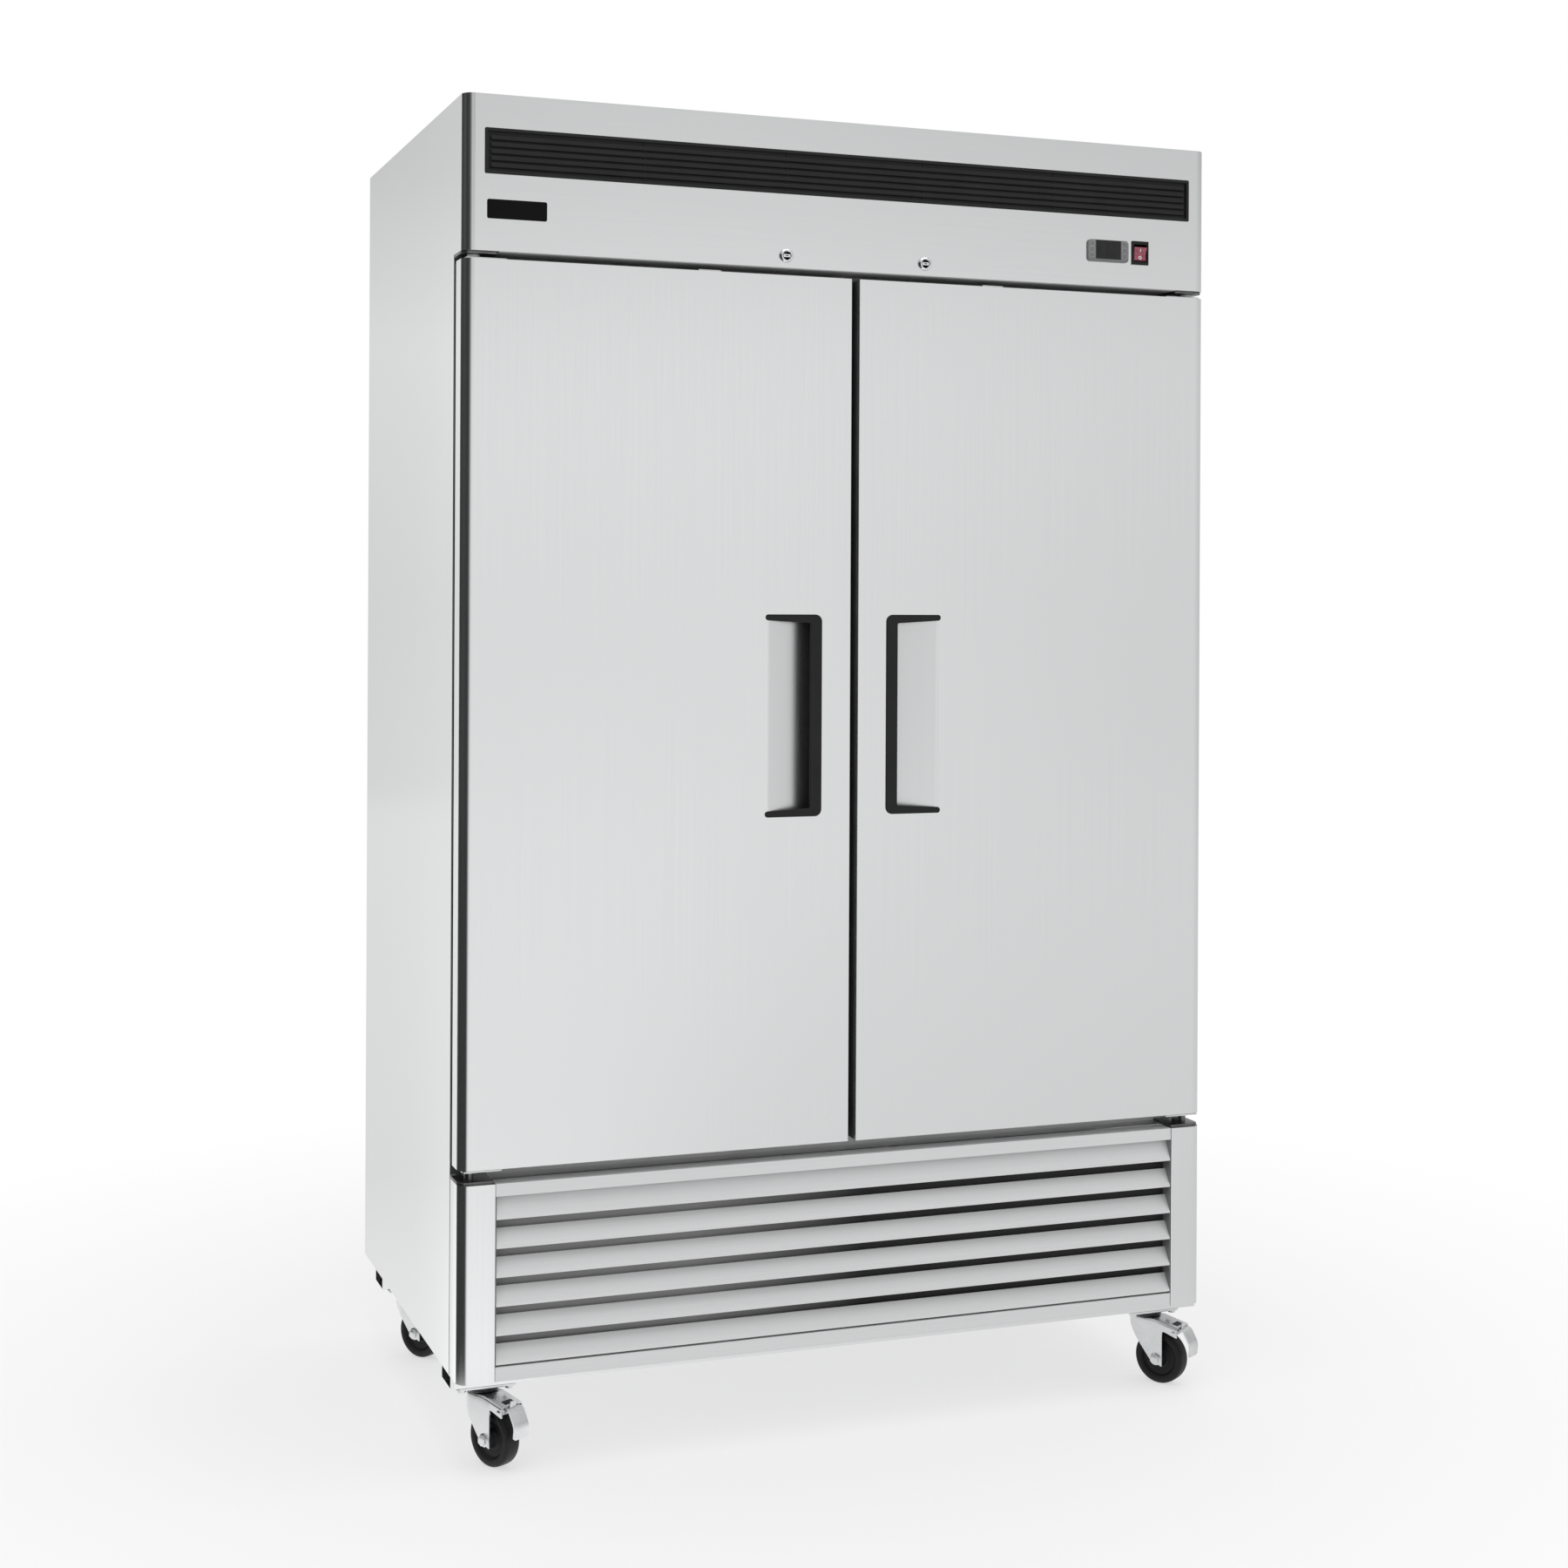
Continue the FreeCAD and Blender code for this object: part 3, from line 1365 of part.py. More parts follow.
def tube(label, points):
    """A round tube along straight runs, with ball joints at the turns."""
    pieces = []
    for i in range(len(points) - 1):
        start, end = points[i], points[i + 1]
        axis = next(k for k in range(3) if words(start[k]) != words(end[k]))
        rod = doc.addObject("Part::Cylinder", f"{label}_run_{i + 1}")
        bind(rod, "Radius", s.tube_radius)
        low, high = sorted((start, end), key=lambda p: number(p[axis]))
        bind(rod, "Height", high[axis] - low[axis])
        lean = FreeCAD.Rotation(FreeCAD.Vector(0, 0, 1), directions["xyz"[axis]])
        rod.Placement = FreeCAD.Placement(FreeCAD.Vector(0, 0, 0), lean)
        for k in range(3):
            bind(rod, f"Placement.Base.{'xyz'[k]}", low[k])
        pieces.append(rod)
    for i, corner in enumerate(points[1:-1], start=1):
        ball = doc.addObject("Part::Sphere", f"{label}_turn_{i}")
        bind(ball, "Radius", s.tube_radius)
        for k in range(3):
            bind(ball, f"Placement.Base.{'xyz'[k]}", corner[k])
        pieces.append(ball)
    if len(pieces) == 1:
        return pieces[0]
    joined = doc.addObject("Part::MultiFuse", label)
    joined.Shapes = pieces
    return joined


def refrigerant_lines():
    right = -s.condenser_left + s.condenser_width
    middle = condenser_y + s.condenser_thickness / 2
    top = z_plinth + s.foot_height + s.shell_height
    coil_high = z_plinth + s.condenser_height - s.discharge_drop
    beside = s.compressor_offset - s.discharge_offset
    discharge = tube("discharge_line", [
        (right, middle, coil_high),
        (beside, middle, coil_high),
        (beside, compressor_y, coil_high),
        (beside, compressor_y, top),
    ])
    suction_x = s.compressor_offset + s.suction_offset
    suction = tube("suction_line", [(suction_x, compressor_y, top), (suction_x, compressor_y, foam_floor)])
    drier = new_body("drier")
    neck = s.tube_radius
    length = s.drier_length
    turned(drier, "z", [
        (0, 0),
        (neck, 0),
        (neck, s.drier_neck),
        (s.drier_radius, s.drier_neck + s.drier_cone),
        (s.drier_radius, length - s.drier_neck - s.drier_cone),
        (neck, length - s.drier_neck),
        (neck, length),
        (0, length),
    ])
    capillary_z = z_plinth + s.drier_length
    capillary_x = right + s.drier_offset
    place(drier, capillary_x, middle, z_plinth)
    capillary = tube("liquid_line", [(capillary_x, middle, capillary_z), (capillary_x, middle, foam_floor)])
    group("refrigerant_lines", [discharge, suction, drier, capillary])


# Cold space: evaporator, standards, clips and shelves

liner_roof = cold_roof - s.liner_sheet
cover_y = cold_front + s.liner_sheet + s.cover_front_gap
cover_z = liner_roof - s.cover_height
cold_fan_y = cover_y + s.hub_length
cold_fan_z = cover_z + s.cover_height / 2


def evaporator():
    cover = new_body("evaporator_hood")
    t = s.cover_sheet
    wide = s.cover_width / 2
    back = cover_y + s.cover_depth
    add(cover, "y", cover_y, back, rectangle(-wide, cover_z, wide, liner_roof))
    cut(cover, "y", cover_y + t, back, rectangle(t - wide, cover_z + t, wide - t, liner_roof))
    cut(cover, "y", cover_y, cover_y + t, *[
        disc(m * s.cold_fan_spread, cold_fan_z, s.cold_fan_radius + s.fan_tip_gap) for m in (-1, 1)])
    members = [cover]
    for side, m in (("left", -1), ("right", 1)):
        x = m * s.cold_fan_spread
        members.append(fan_motor(f"evaporator_{side}", x, cold_fan_y, cold_fan_z, cover_y + t, s.cold_fan_radius))
        fan(f"evaporator_fan_{side}", s.cold_fan_radius, x, cold_fan_y, cold_fan_z)
    group("evaporator_cover", members)
    coil = new_node("evaporator_coil")
    a = s.coil_width / 2
    far = back - s.coil_back_gap
    add(coil, "y", far - s.coil_depth, far, rectangle(-a, liner_roof - s.coil_height, a, liner_roof))


standard_low = cold_floor + s.liner_sheet + s.standard_end_gap
standard_high = opening_top - s.standard_end_gap
bay_wall = cold_x - s.liner_sheet
bay_front = cold_front + s.liner_sheet
bay_rear = cold_rear - s.liner_sheet


def standard_places():
    """Each upright's foot on its wall and the turn that faces it into the bay."""
    for side, m, wall_turn in (("left", -1, 0), ("right", 1, 180)):
        yield f"{side}_front", m * bay_wall, bay_front + s.standard_wall_inset, wall_turn
        yield f"{side}_rear", m * bay_wall, bay_rear - s.standard_wall_inset, wall_turn
        yield f"{side}_mullion", m * s.standard_centre_offset, bay_front, 90
        yield f"{side}_back", m * s.standard_centre_offset, bay_rear, 270


def shelf_standards():
    upright = new_body("upright")
    w, d, t = s.standard_width / 2, s.standard_depth, s.standard_sheet
    tall = standard_high - standard_low
    add(upright, "z", 0, tall, [
        (0, -w), (d, -w), (d, w), (0, w), (0, w - t), (d - t, w - t), (d - t, t - w), (0, t - w)])
    slot = cut(upright, "x", d - t, d, rectangle(
        -s.standard_slot_width / 2, s.standard_slot_height,
        s.standard_slot_width / 2, 2 * s.standard_slot_height))
    pattern(upright, [slot], standard_slot_count, s.standard_slot_pitch, "Z_Axis")
    group("shelf_standards", [copy_of(upright, f"upright_{name}", x, y, standard_low, turn)
                              for name, x, y, turn in standard_places()])


def shelf_level(i):
    return cold_floor + s.shelf_first + s.shelf_pitch * i


def shelf_clips():
    clip = new_body("clip")
    w, d = s.clip_width / 2, s.standard_depth
    reach = d + s.clip_reach
    seat = -s.shelf_rod_radius
    add(clip, "y", -w, w, [
        (d, seat - s.clip_height),
        (d + s.clip_seat / 2, seat - s.clip_height),
        (reach, seat - s.clip_seat),
        (reach, seat),
        (d, seat),
    ])
    members = []
    for i in range(shelf_level_count):
        for name, x, y, turn in standard_places():
            members.append(copy_of(clip, f"clip_{name}_{i + 1}", x, y, shelf_level(i), turn))
    group("shelf_clips", members)


def wire_shelves():
    shelf = new_body("shelf")
    near = s.shelf_centre_gap
    far = bay_wall - s.shelf_side_gap
    front = bay_front + s.shelf_end_gap - s.standard_depth
    back = bay_rear - s.shelf_end_gap + s.standard_depth
    rod = s.shelf_rod_radius
    side = s.shelf_side_rod_radius
    for y in (front, back):
        add(shelf, "x", near, far, disc(y, 0, rod))
    for x in (near + side * 2, far - side * 2):
        add(shelf, "y", front, back, disc(x, side - rod, side))
    step = (far - near - side * 4) / (shelf_wire_count + 1)
    lift = rod + s.shelf_wire_radius - s.shelf_sink
    wire = add(shelf, "y", front, back, disc(near + side * 2 + step, lift, s.shelf_wire_radius))
    pattern(shelf, [wire], shelf_wire_count, step, "X_Axis")
    members = []
    for i in range(shelf_level_count):
        members.append(copy_of(shelf, f"shelf_right_{i + 1}", 0, 0, shelf_level(i)))
        members.append(copy_of(shelf, f"shelf_left_{i + 1}", -near - far, 0, shelf_level(i)))
    group("wire_shelves", members)


def build():
    for side, m in (("left", -1), ("right", 1)):
        side_panel(f"side_panel_{side}", m)
        corner_post(f"corner_post_{side}", m)
        door_skin(side, m)
        door_liner(side, m)
        door_gasket(side, m)
        door_handle(side, m)
        door_hardware(side, m)
    rear_panel()
    top_panel()
    face_frame()
    cabinet_insulation()
    inner_liner()
    base_frame()
    louvre_panel()
    header_panel()
    vent_grille()
    locks()
    controller()
    switch()
    hinge_brackets()
    castors()
    condenser()
    condenser_fan_set()
    compressor()
    refrigerant_lines()
    evaporator()
    shelf_standards()
    shelf_clips()
    wire_shelves()
    doc.recompute()


def check_and_export():
    for thing in doc.Objects:
        if "Invalid" in thing.State or "Error" in thing.State:
            raise RuntimeError(f"{thing.Label} did not build: {thing.State}")
    for node in nodes:
        if node.Shape.isNull() or not node.Shape.isValid():
            raise RuntimeError(f"{node.Label} has no valid shape")
        node.Shape.exportStep(f"parts/{node.Label}.step")
        print(node.Label, len(node.Shape.Solids), "solids")
    print(len(nodes), "nodes")


build()
check_and_export()
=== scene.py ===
import bpy
import json
import math
import numpy as np
from mathutils import Matrix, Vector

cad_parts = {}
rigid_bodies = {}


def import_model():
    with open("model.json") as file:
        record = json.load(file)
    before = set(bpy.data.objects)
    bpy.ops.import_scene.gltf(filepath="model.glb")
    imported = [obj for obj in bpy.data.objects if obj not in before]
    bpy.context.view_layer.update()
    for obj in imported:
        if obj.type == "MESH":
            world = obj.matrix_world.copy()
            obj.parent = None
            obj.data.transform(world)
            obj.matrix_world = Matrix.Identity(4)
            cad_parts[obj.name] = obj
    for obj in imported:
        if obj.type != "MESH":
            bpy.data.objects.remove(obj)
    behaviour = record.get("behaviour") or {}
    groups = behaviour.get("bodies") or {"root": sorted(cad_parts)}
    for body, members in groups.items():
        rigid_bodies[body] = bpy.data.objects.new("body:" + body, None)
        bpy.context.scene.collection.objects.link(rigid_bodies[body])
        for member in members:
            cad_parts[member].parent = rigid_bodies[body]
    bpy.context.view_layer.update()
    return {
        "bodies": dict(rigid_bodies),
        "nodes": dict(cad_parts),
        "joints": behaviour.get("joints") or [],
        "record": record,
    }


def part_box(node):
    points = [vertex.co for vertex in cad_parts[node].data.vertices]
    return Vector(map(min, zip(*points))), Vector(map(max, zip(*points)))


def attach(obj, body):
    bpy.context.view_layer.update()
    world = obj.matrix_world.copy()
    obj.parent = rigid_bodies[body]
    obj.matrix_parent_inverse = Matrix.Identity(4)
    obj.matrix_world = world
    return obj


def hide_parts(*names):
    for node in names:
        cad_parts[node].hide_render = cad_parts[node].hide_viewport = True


for leftover in list(bpy.data.objects):
    bpy.data.objects.remove(leftover)

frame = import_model()
nodes = frame["nodes"]
bothSides = (("left", -1), ("right", 1))
print("frame loaded,", len(nodes), "nodes")


# Shader helpers: a finish is one Principled shader fed by patterns on Object coordinates; a socket knows its own tree

def startFinish(name):
    finish = bpy.data.materials.new(name)
    finish.use_nodes = True
    tree = finish.node_tree
    return finish, tree.nodes["Principled BSDF"], tree.nodes.new("ShaderNodeTexCoord").outputs["Object"]


# Another node's socket is linked, anything else is set
def feed(target, value):
    if isinstance(value, bpy.types.NodeSocket):
        target.id_data.links.new(value, target)
    else:
        target.default_value = value


# Sockets of a node by name
def settle(node, **values):
    for key, value in values.items():
        feed(node.inputs[key.replace("_", " ")], value)


# Sockets of a node in their order, for those whose names repeat
def fill(node, *values):
    for target, value in zip(node.inputs, values):
        feed(target, value)


def addNode(tree, kind, **values):
    node = tree.nodes.new("ShaderNode" + kind)
    settle(node, **values)
    return node


def grainNoise(coords, scale, detail=2.0, distortion=0.0):
    tree, sizes = coords.id_data, [float(size) for size in np.broadcast_to(scale, 3)]
    stretch = addNode(tree, "Mapping", Vector=coords, Scale=sizes).outputs["Vector"]
    return addNode(tree, "TexNoise", Vector=stretch, Scale=1.0, Detail=detail, Distortion=distortion).outputs["Fac"]


def splitAxes(vector):
    return addNode(vector.id_data, "SeparateXYZ", Vector=vector).outputs


def spread(value, low, high, start=0.3, end=0.7):
    ends = {"From_Min": start, "From_Max": end, "To_Min": low, "To_Max": high}
    return addNode(value.id_data, "MapRange", Value=value, **ends).outputs["Result"]


# Colour ramp through stops of (place, colour)
def ramp(value, stops):
    node = addNode(value.id_data, "ValToRGB", Fac=value)
    ends = node.color_ramp.elements
    for end, (place, tone) in zip((ends[0], ends[1]), (stops[0], stops[-1])):
        end.position = place
        end.color = (*tone, 1.0)
    for place, tone in stops[1:-1]:
        ends.new(place).color = (*tone, 1.0)
    return node.outputs["Color"]


def shade(value, dark, light, start=0.3, end=0.7):
    return ramp(value, ((start, dark), (end, light)))


# Mix of a colour socket with another one or a plain colour
def blend(factor, first, second, mode="MIX"):
    mixer = addNode(first.id_data, "Mix")
    mixer.data_type = "RGBA"
    mixer.blend_type = mode
    settle(mixer, Factor=factor, A=first, B=second)
    return mixer.outputs["Result"]


def layBumps(shader, *layers):
    under = {}
    for height, strength, distance in layers:  # coarse first, each over the one before
        bump = addNode(shader.id_data, "Bump", Height=height, Strength=strength, Distance=distance, **under)
        under = {"Normal": bump.outputs["Normal"]}
    settle(shader, **under)


steelLook = {
    "dark": (0.765, 0.772, 0.778), "light": (0.785, 0.791, 0.796), "hair": 2200.0, "run": 9.0,
    "streak": 240.0, "streakRun": 1.6, "wave": 1.7, "waveShare": 0.35,
    "gapShadeSoft": 0.0003, "gapShadeDark": (0.030, 0.030, 0.031), "gapShadeLight": (0.050, 0.050, 0.051),
    "gapShadeTint": (0.04, 0.04, 0.04),
}


# Brushed sheet: hair lines much longer than wide along one axis, faint streaks, and the slow wave of thin sheet
def brushedSteel(name, along, rough=(0.13, 0.19), metal=1.0, gapShadeDepth=None, **tones):
    finish, shader, coords = startFinish(name)
    look = {**steelLook, **tones}
    tones = look["dark"], look["light"]
    hair = grainNoise(coords, [look["run"] if axis == along else look["hair"] for axis in "xyz"], 3.0)
    streak = grainNoise(coords, [look["streakRun"] if axis == along else look["streak"] for axis in "xyz"])
    wave = grainNoise(coords, look["wave"], 1.0)
    tone = blend(look["waveShare"], shade(streak, *tones), shade(wave, *tones))
    if gapShadeDepth is not None:  # painted shade of the gap along the sheet's rear edge past this depth, with its reflection dimmed as well
        past = spread(splitAxes(coords)["Y"], 0.0, 1.0, gapShadeDepth - look["gapShadeSoft"], gapShadeDepth + look["gapShadeSoft"])
        tone = blend(past, tone, shade(streak, look["gapShadeDark"], look["gapShadeLight"]))
        settle(shader, Specular_Tint=shade(past, (1.0, 1.0, 1.0), look["gapShadeTint"]))
    settle(shader, Base_Color=tone, Roughness=spread(hair, *rough), Metallic=metal)
    layBumps(shader, (wave, 1.0, 0.0005), (hair, 0.06, 0.00003))
    return finish


# Clouded finish: a slow noise carries the tone, it or a finer noise the gloss, and the finer noise the relief
def clouded(name, dark, light, rough, cloud, fine=None, relief=None, fineGloss=False, ends=(0.3, 0.7), **values):
    finish, shader, coords = startFinish(name)
    slow = grainNoise(coords, *cloud)
    quick = grainNoise(coords, *fine) if fine else slow
    settle(shader, Base_Color=shade(slow, dark, light, *ends), **values)
    if rough:
        settle(shader, Roughness=spread(quick if fineGloss else slow, *rough))
    if relief:
        layBumps(shader, (quick, *relief))
    return finish


def zincPlate(name, dark, light, rough):
    return clouded(name, dark, light, rough, (38.0, 4.0), (900.0, 2.0), (0.12, 0.0001), Metallic=1.0)


# Moulded plastic: a fine spark-eroded grain with slightly uneven gloss
def moulded(name, dark, light, rough, grain=1500.0, depth=0.00008, gloss=0.5):
    return clouded(name, dark, light, rough, (24.0, 3.0), (grain, 2.0), (0.35, depth), Specular_IOR_Level=gloss)


# Coated sheet: an even colour with the orange peel that spraying leaves
def painted(name, dark, light, rough):
    return clouded(name, dark, light, rough, (5.0, 3.0), (340.0, 1.0), (0.18, 0.00012), True,
                   Coat_Weight=0.25, Coat_Roughness=0.15)


# Hot-dip coat: each crystal of the spangle is one cell with its own grey
def galvanisedSheet(name):
    finish, shader, coords = startFinish(name)
    cells = addNode(coords.id_data, "TexVoronoi", Vector=coords, Scale=62.0)
    crystal = addNode(coords.id_data, "RGBToBW", Color=cells.outputs["Color"]).outputs["Val"]
    frost = grainNoise(coords, 420.0, 3.0)
    tone = blend(0.4, shade(crystal, (0.47, 0.485, 0.50), (0.63, 0.645, 0.66), 0.1, 0.9),
                 shade(frost, (0.50, 0.51, 0.52), (0.60, 0.61, 0.62)))
    settle(shader, Base_Color=tone, Roughness=spread(crystal, 0.30, 0.46, 0.1, 0.9), Metallic=1.0)
    layBumps(shader, (frost, 0.10, 0.0002))
    return finish


# Filter mat behind the louvre: open foam, paler towards one end with painted light and dark beyond with painted shade
def filterMat(name):
    finish, shader, coords = startFinish(name)
    cell = grainNoise(coords, 620.0)
    # painted light and shade: pale at the left end of the mat, fading to dark by the middle and dark to the right
    across = spread(splitAxes(coords)["X"], 0.0, 1.0, -0.26, 0.03)
    paintedLightAcross = shade(across, (0.34, 0.34, 0.342), (0.034, 0.034, 0.035), 0.0, 1.0)
    tone = blend(0.3, paintedLightAcross, shade(cell, (0.01, 0.01, 0.01), (0.06, 0.06, 0.06)))
    settle(shader, Base_Color=tone, Roughness=0.85, Specular_IOR_Level=0.1)
    layBumps(shader, (cell, 0.6, 0.0006))
    return finish


finishes = {
    "steelUp": brushedSteel("steel_grain_up", "z"),
    # the door skin carries painted shade along its rear edge, where the gap to the cabinet lies
    "steelDoor": brushedSteel("steel_door", "z", gapShadeDepth=-0.3462),
    "steelAcross": brushedSteel("steel_grain_across", "x"),
    "steelDull": brushedSteel("steel_dull", "x", (0.42, 0.50), 0.28, dark=(0.66, 0.665, 0.67),
                              light=(0.70, 0.705, 0.71)),
    "steelScoop": brushedSteel("steel_scoop", "z", (0.28, 0.36)),
    "pressed": zincPlate("castor_zinc", (0.68, 0.69, 0.70), (0.80, 0.805, 0.81), (0.22, 0.36)),
    "darkZinc": zincPlate("dark_zinc", (0.12, 0.12, 0.123), (0.19, 0.19, 0.193), (0.24, 0.36)),
    "zinc": zincPlate("zinc_plate", (0.56, 0.57, 0.585), (0.70, 0.705, 0.71), (0.24, 0.38)),
    "galvanised": galvanisedSheet("galvanised_spangle"),
    "filter": filterMat("filter_mat"),
    # black trim whose colour is painted shade for the gaps round the doors
    "trim": moulded("trim_gap_shade", (0.055, 0.055, 0.056), (0.075, 0.075, 0.076), (0.50, 0.62), 900.0, gloss=0.25),
    "strip": moulded("strip_vinyl", (0.44, 0.44, 0.443), (0.50, 0.50, 0.503), (0.50, 0.62), 900.0, gloss=0.25),
    "gasket": moulded("gasket_vinyl", (0.020, 0.020, 0.021), (0.032, 0.032, 0.033), (0.48, 0.60), 700.0),
    "handle": moulded("handle_plastic", (0.009, 0.0092, 0.0092), (0.013, 0.0132, 0.0132), (0.36, 0.46), gloss=0.22),
    "blackPlastic": moulded("black_moulding", (0.009, 0.0093, 0.0092), (0.012, 0.0123, 0.0122), (0.34, 0.44),
                            gloss=0.22),
    "grille": moulded("grille_plastic", (0.010, 0.0102, 0.0102), (0.014, 0.0142, 0.0142), (0.42, 0.52), gloss=0.25),
    "gloss": moulded("plate_gloss", (0.002, 0.002, 0.0021), (0.0032, 0.0032, 0.0034), (0.34, 0.44),
                     2400.0, 0.00003, 0.10),
    "greyPlastic": moulded("bezel_plastic", (0.135, 0.138, 0.14), (0.165, 0.168, 0.17), (0.30, 0.38), 2400.0),
    "key": moulded("key_plastic", (0.36, 0.365, 0.37), (0.42, 0.425, 0.43), (0.34, 0.44), 2400.0),
    "fanPlastic": moulded("fan_plastic", (0.020, 0.020, 0.021), (0.030, 0.030, 0.031), (0.40, 0.52), 900.0),
    "white": painted("liner_coat", (0.76, 0.77, 0.765), (0.83, 0.835, 0.83), (0.26, 0.36)),
    "wire": painted("wire_coat", (0.78, 0.79, 0.79), (0.86, 0.865, 0.86), (0.24, 0.34)),
    "enamel": painted("compressor_enamel", (0.012, 0.012, 0.013), (0.020, 0.020, 0.021), (0.24, 0.36)),
    "rubber": clouded("wheel_rubber", (0.0045, 0.0045, 0.0047), (0.009, 0.009, 0.009), (0.42, 0.60), (46.0, 5.0, 0.4),
                      (1300.0, 2.0), (0.3, 0.00008), ends=(0.35, 0.8), Specular_IOR_Level=0.3),
    "foam": clouded("foam_core", (0.62, 0.50, 0.27), (0.76, 0.66, 0.40), None, (14.0, 4.0), (700.0, 2.0), (0.6, 0.0006),
                    Roughness=0.9),
    "copper": clouded("copper_tube", (0.48, 0.22, 0.13), (0.80, 0.43, 0.29), (0.38, 0.22), (60.0, 4.0, 0.5),
                      ends=(0.3, 0.65), Metallic=1.0),
    # rolled fin stock: faint lines along the rolling direction
    "aluminium": clouded("fin_aluminium", (0.66, 0.67, 0.68), (0.80, 0.81, 0.82), (0.24, 0.40), (30.0, 3.0),
                         ((1200.0, 40.0, 40.0), 2.0), fineGloss=True, Metallic=1.0),
    # the faint cloud that handling leaves on polished chrome
    "chrome": clouded("lock_chrome", (0.74, 0.75, 0.76), (0.83, 0.84, 0.85), (0.05, 0.13), (160.0, 3.0), Metallic=1.0),
    # clear dyed plastic that lets some light through, with a few brighter flecks
    "red": clouded("rocker_red", (0.17, 0.026, 0.042), (0.36, 0.075, 0.120), (0.16, 0.26), ((420.0, 420.0, 300.0), 2.0),
                   Coat_Weight=0.3, Coat_Roughness=0.05, Subsurface_Weight=0.15, Subsurface_Scale=0.004),
    "window": clouded("display_tint", (0.010, 0.010, 0.011), (0.018, 0.018, 0.019), (0.10, 0.18),
                      ((90.0, 90.0, 30.0), 3.0), Specular_IOR_Level=0.3),
}
print("finishes made,", len(finishes))

# Finish by how a node's name starts; the first that fits is taken
nodeFinish = {
    "steelUp": ("side_panel", "corner_post", "shelf_standards"), "steelDoor": ("door_skin",),
    "steelAcross": ("header_panel", "top_panel", "base_frame"), "steelDull": ("louvre_panel", "face_frame"),
    "galvanised": ("rear_panel", "condenser_fan_housing"), "foam": ("cabinet_insulation",),
    "white": ("inner_liner", "door_liner", "evaporator_cover"), "gasket": ("door_gasket",), "handle": ("door_handle",),
    "zinc": ("door_hardware", "hinge_brackets", "castor_plates", "castor_fork", "brake_pedal", "shelf_clips"),
    "blackPlastic": ("vent_grille", "switch_bezel"), "chrome": ("lock_",), "greyPlastic": ("controller_case",),
    "window": ("display_window",), "red": ("power_rocker",), "key": ("key_",), "rubber": ("castor_wheel",),
    "aluminium": ("condenser_coil", "evaporator_coil"), "fanPlastic": ("condenser_fan", "evaporator_fan"),
    "enamel": ("compressor",), "copper": ("refrigerant_lines",), "wire": ("wire_shelves",),
}
for name, part in nodes.items():
    part.data.materials.clear()
    part.data.materials.append(finishes[next(key for key, starts in nodeFinish.items() if name.startswith(starts))])
print("finishes laid on the nodes")


# Edges of folded sheet and mouldings are eased, so that they catch the light
def easeEdges(part, width):
    ease = part.modifiers.new("ease", "BEVEL")
    ease.width = width
    ease.segments = 2
    ease.limit_method = "ANGLE"
    ease.angle_limit = math.radians(40)
    ease.harden_normals = True
    ease.use_clamp_overlap = True


edgeLook = {"nodes": ("door_hardware_left", "door_hardware_right", "switch_bezel"), "width": 0.0006, "weld": 0.00001}
for name in edgeLook["nodes"]:
    weld = nodes[name].modifiers.new("weld", "WELD")
    weld.merge_threshold = edgeLook["weld"]
    easeEdges(nodes[name], edgeLook["width"])
print("edges eased on", len(edgeLook["nodes"]), "nodes")


# Mesh helpers: each part is a closed shell given as points and faces, in metres

def gridFaces(rows, columns, wrapRows=False, wrapColumns=False):
    first = np.arange(rows if wrapRows else rows - 1)
    second = np.arange(columns if wrapColumns else columns - 1)
    a, b = np.meshgrid(first, second, indexing="ij")
    nextA, nextB = (a + 1) % rows, (b + 1) % columns
    quads = np.stack([a * columns + b, nextA * columns + b, nextA * columns + nextB, a * columns + nextB], axis=-1)
    return quads.reshape(-1, 4).tolist()


# Skin between neighbouring rings; flat faces close the first and last ring unless the rings wrap round
def loft(rings, wrap=False):
    rings = np.asarray(rings, float)
    count, around = rings.shape[:2]
    faces = gridFaces(count, around, wrap, True)
    if not wrap:
        faces.append(list(range(around)))
        faces.append([(count - 1) * around + k for k in range(around)][::-1])
    return rings.reshape(-1, 3), faces


# A frame is an origin with three axes: two across and one along the height
def frameAt(origin, across, up):
    across, up = np.array(across, float), np.array(up, float)
    return np.array(origin, float), across, up, np.cross(across, up)


# Frames whose height runs to the front, upwards, and to one side
def facing(x=0.0, y=0.0, z=0.0):
    return frameAt((x, y, z), (1, 0, 0), (0, 0, 1))


def lying(x=0.0, y=0.0, z=0.0):
    return frameAt((x, y, z), (1, 0, 0), (0, 1, 0))


def sideways(x, y, z, side=1):
    return frameAt((x, y, z), (0, 0, 1), (side, 0, 0))


def lay(frame, points, height):
    origin, across, up, out = frame
    points = np.asarray(points, float)
    height = np.broadcast_to(np.asarray(height, float), points.shape[:-1])
    return origin + points[..., :1] * across + points[..., 1:2] * up + height[..., None] * out


def circleOf(count):
    turn = np.linspace(0, 2 * np.pi, count, endpoint=False)
    return np.stack([np.cos(turn), np.sin(turn)], axis=1)


# Turned form: each profile point (radius, height) makes one circle about the frame's height axis
def revolve(profile, frame, count=32, wrap=False):
    circle = circleOf(count)
    return loft([lay(frame, circle * radius, height) for radius, height in profile], wrap)


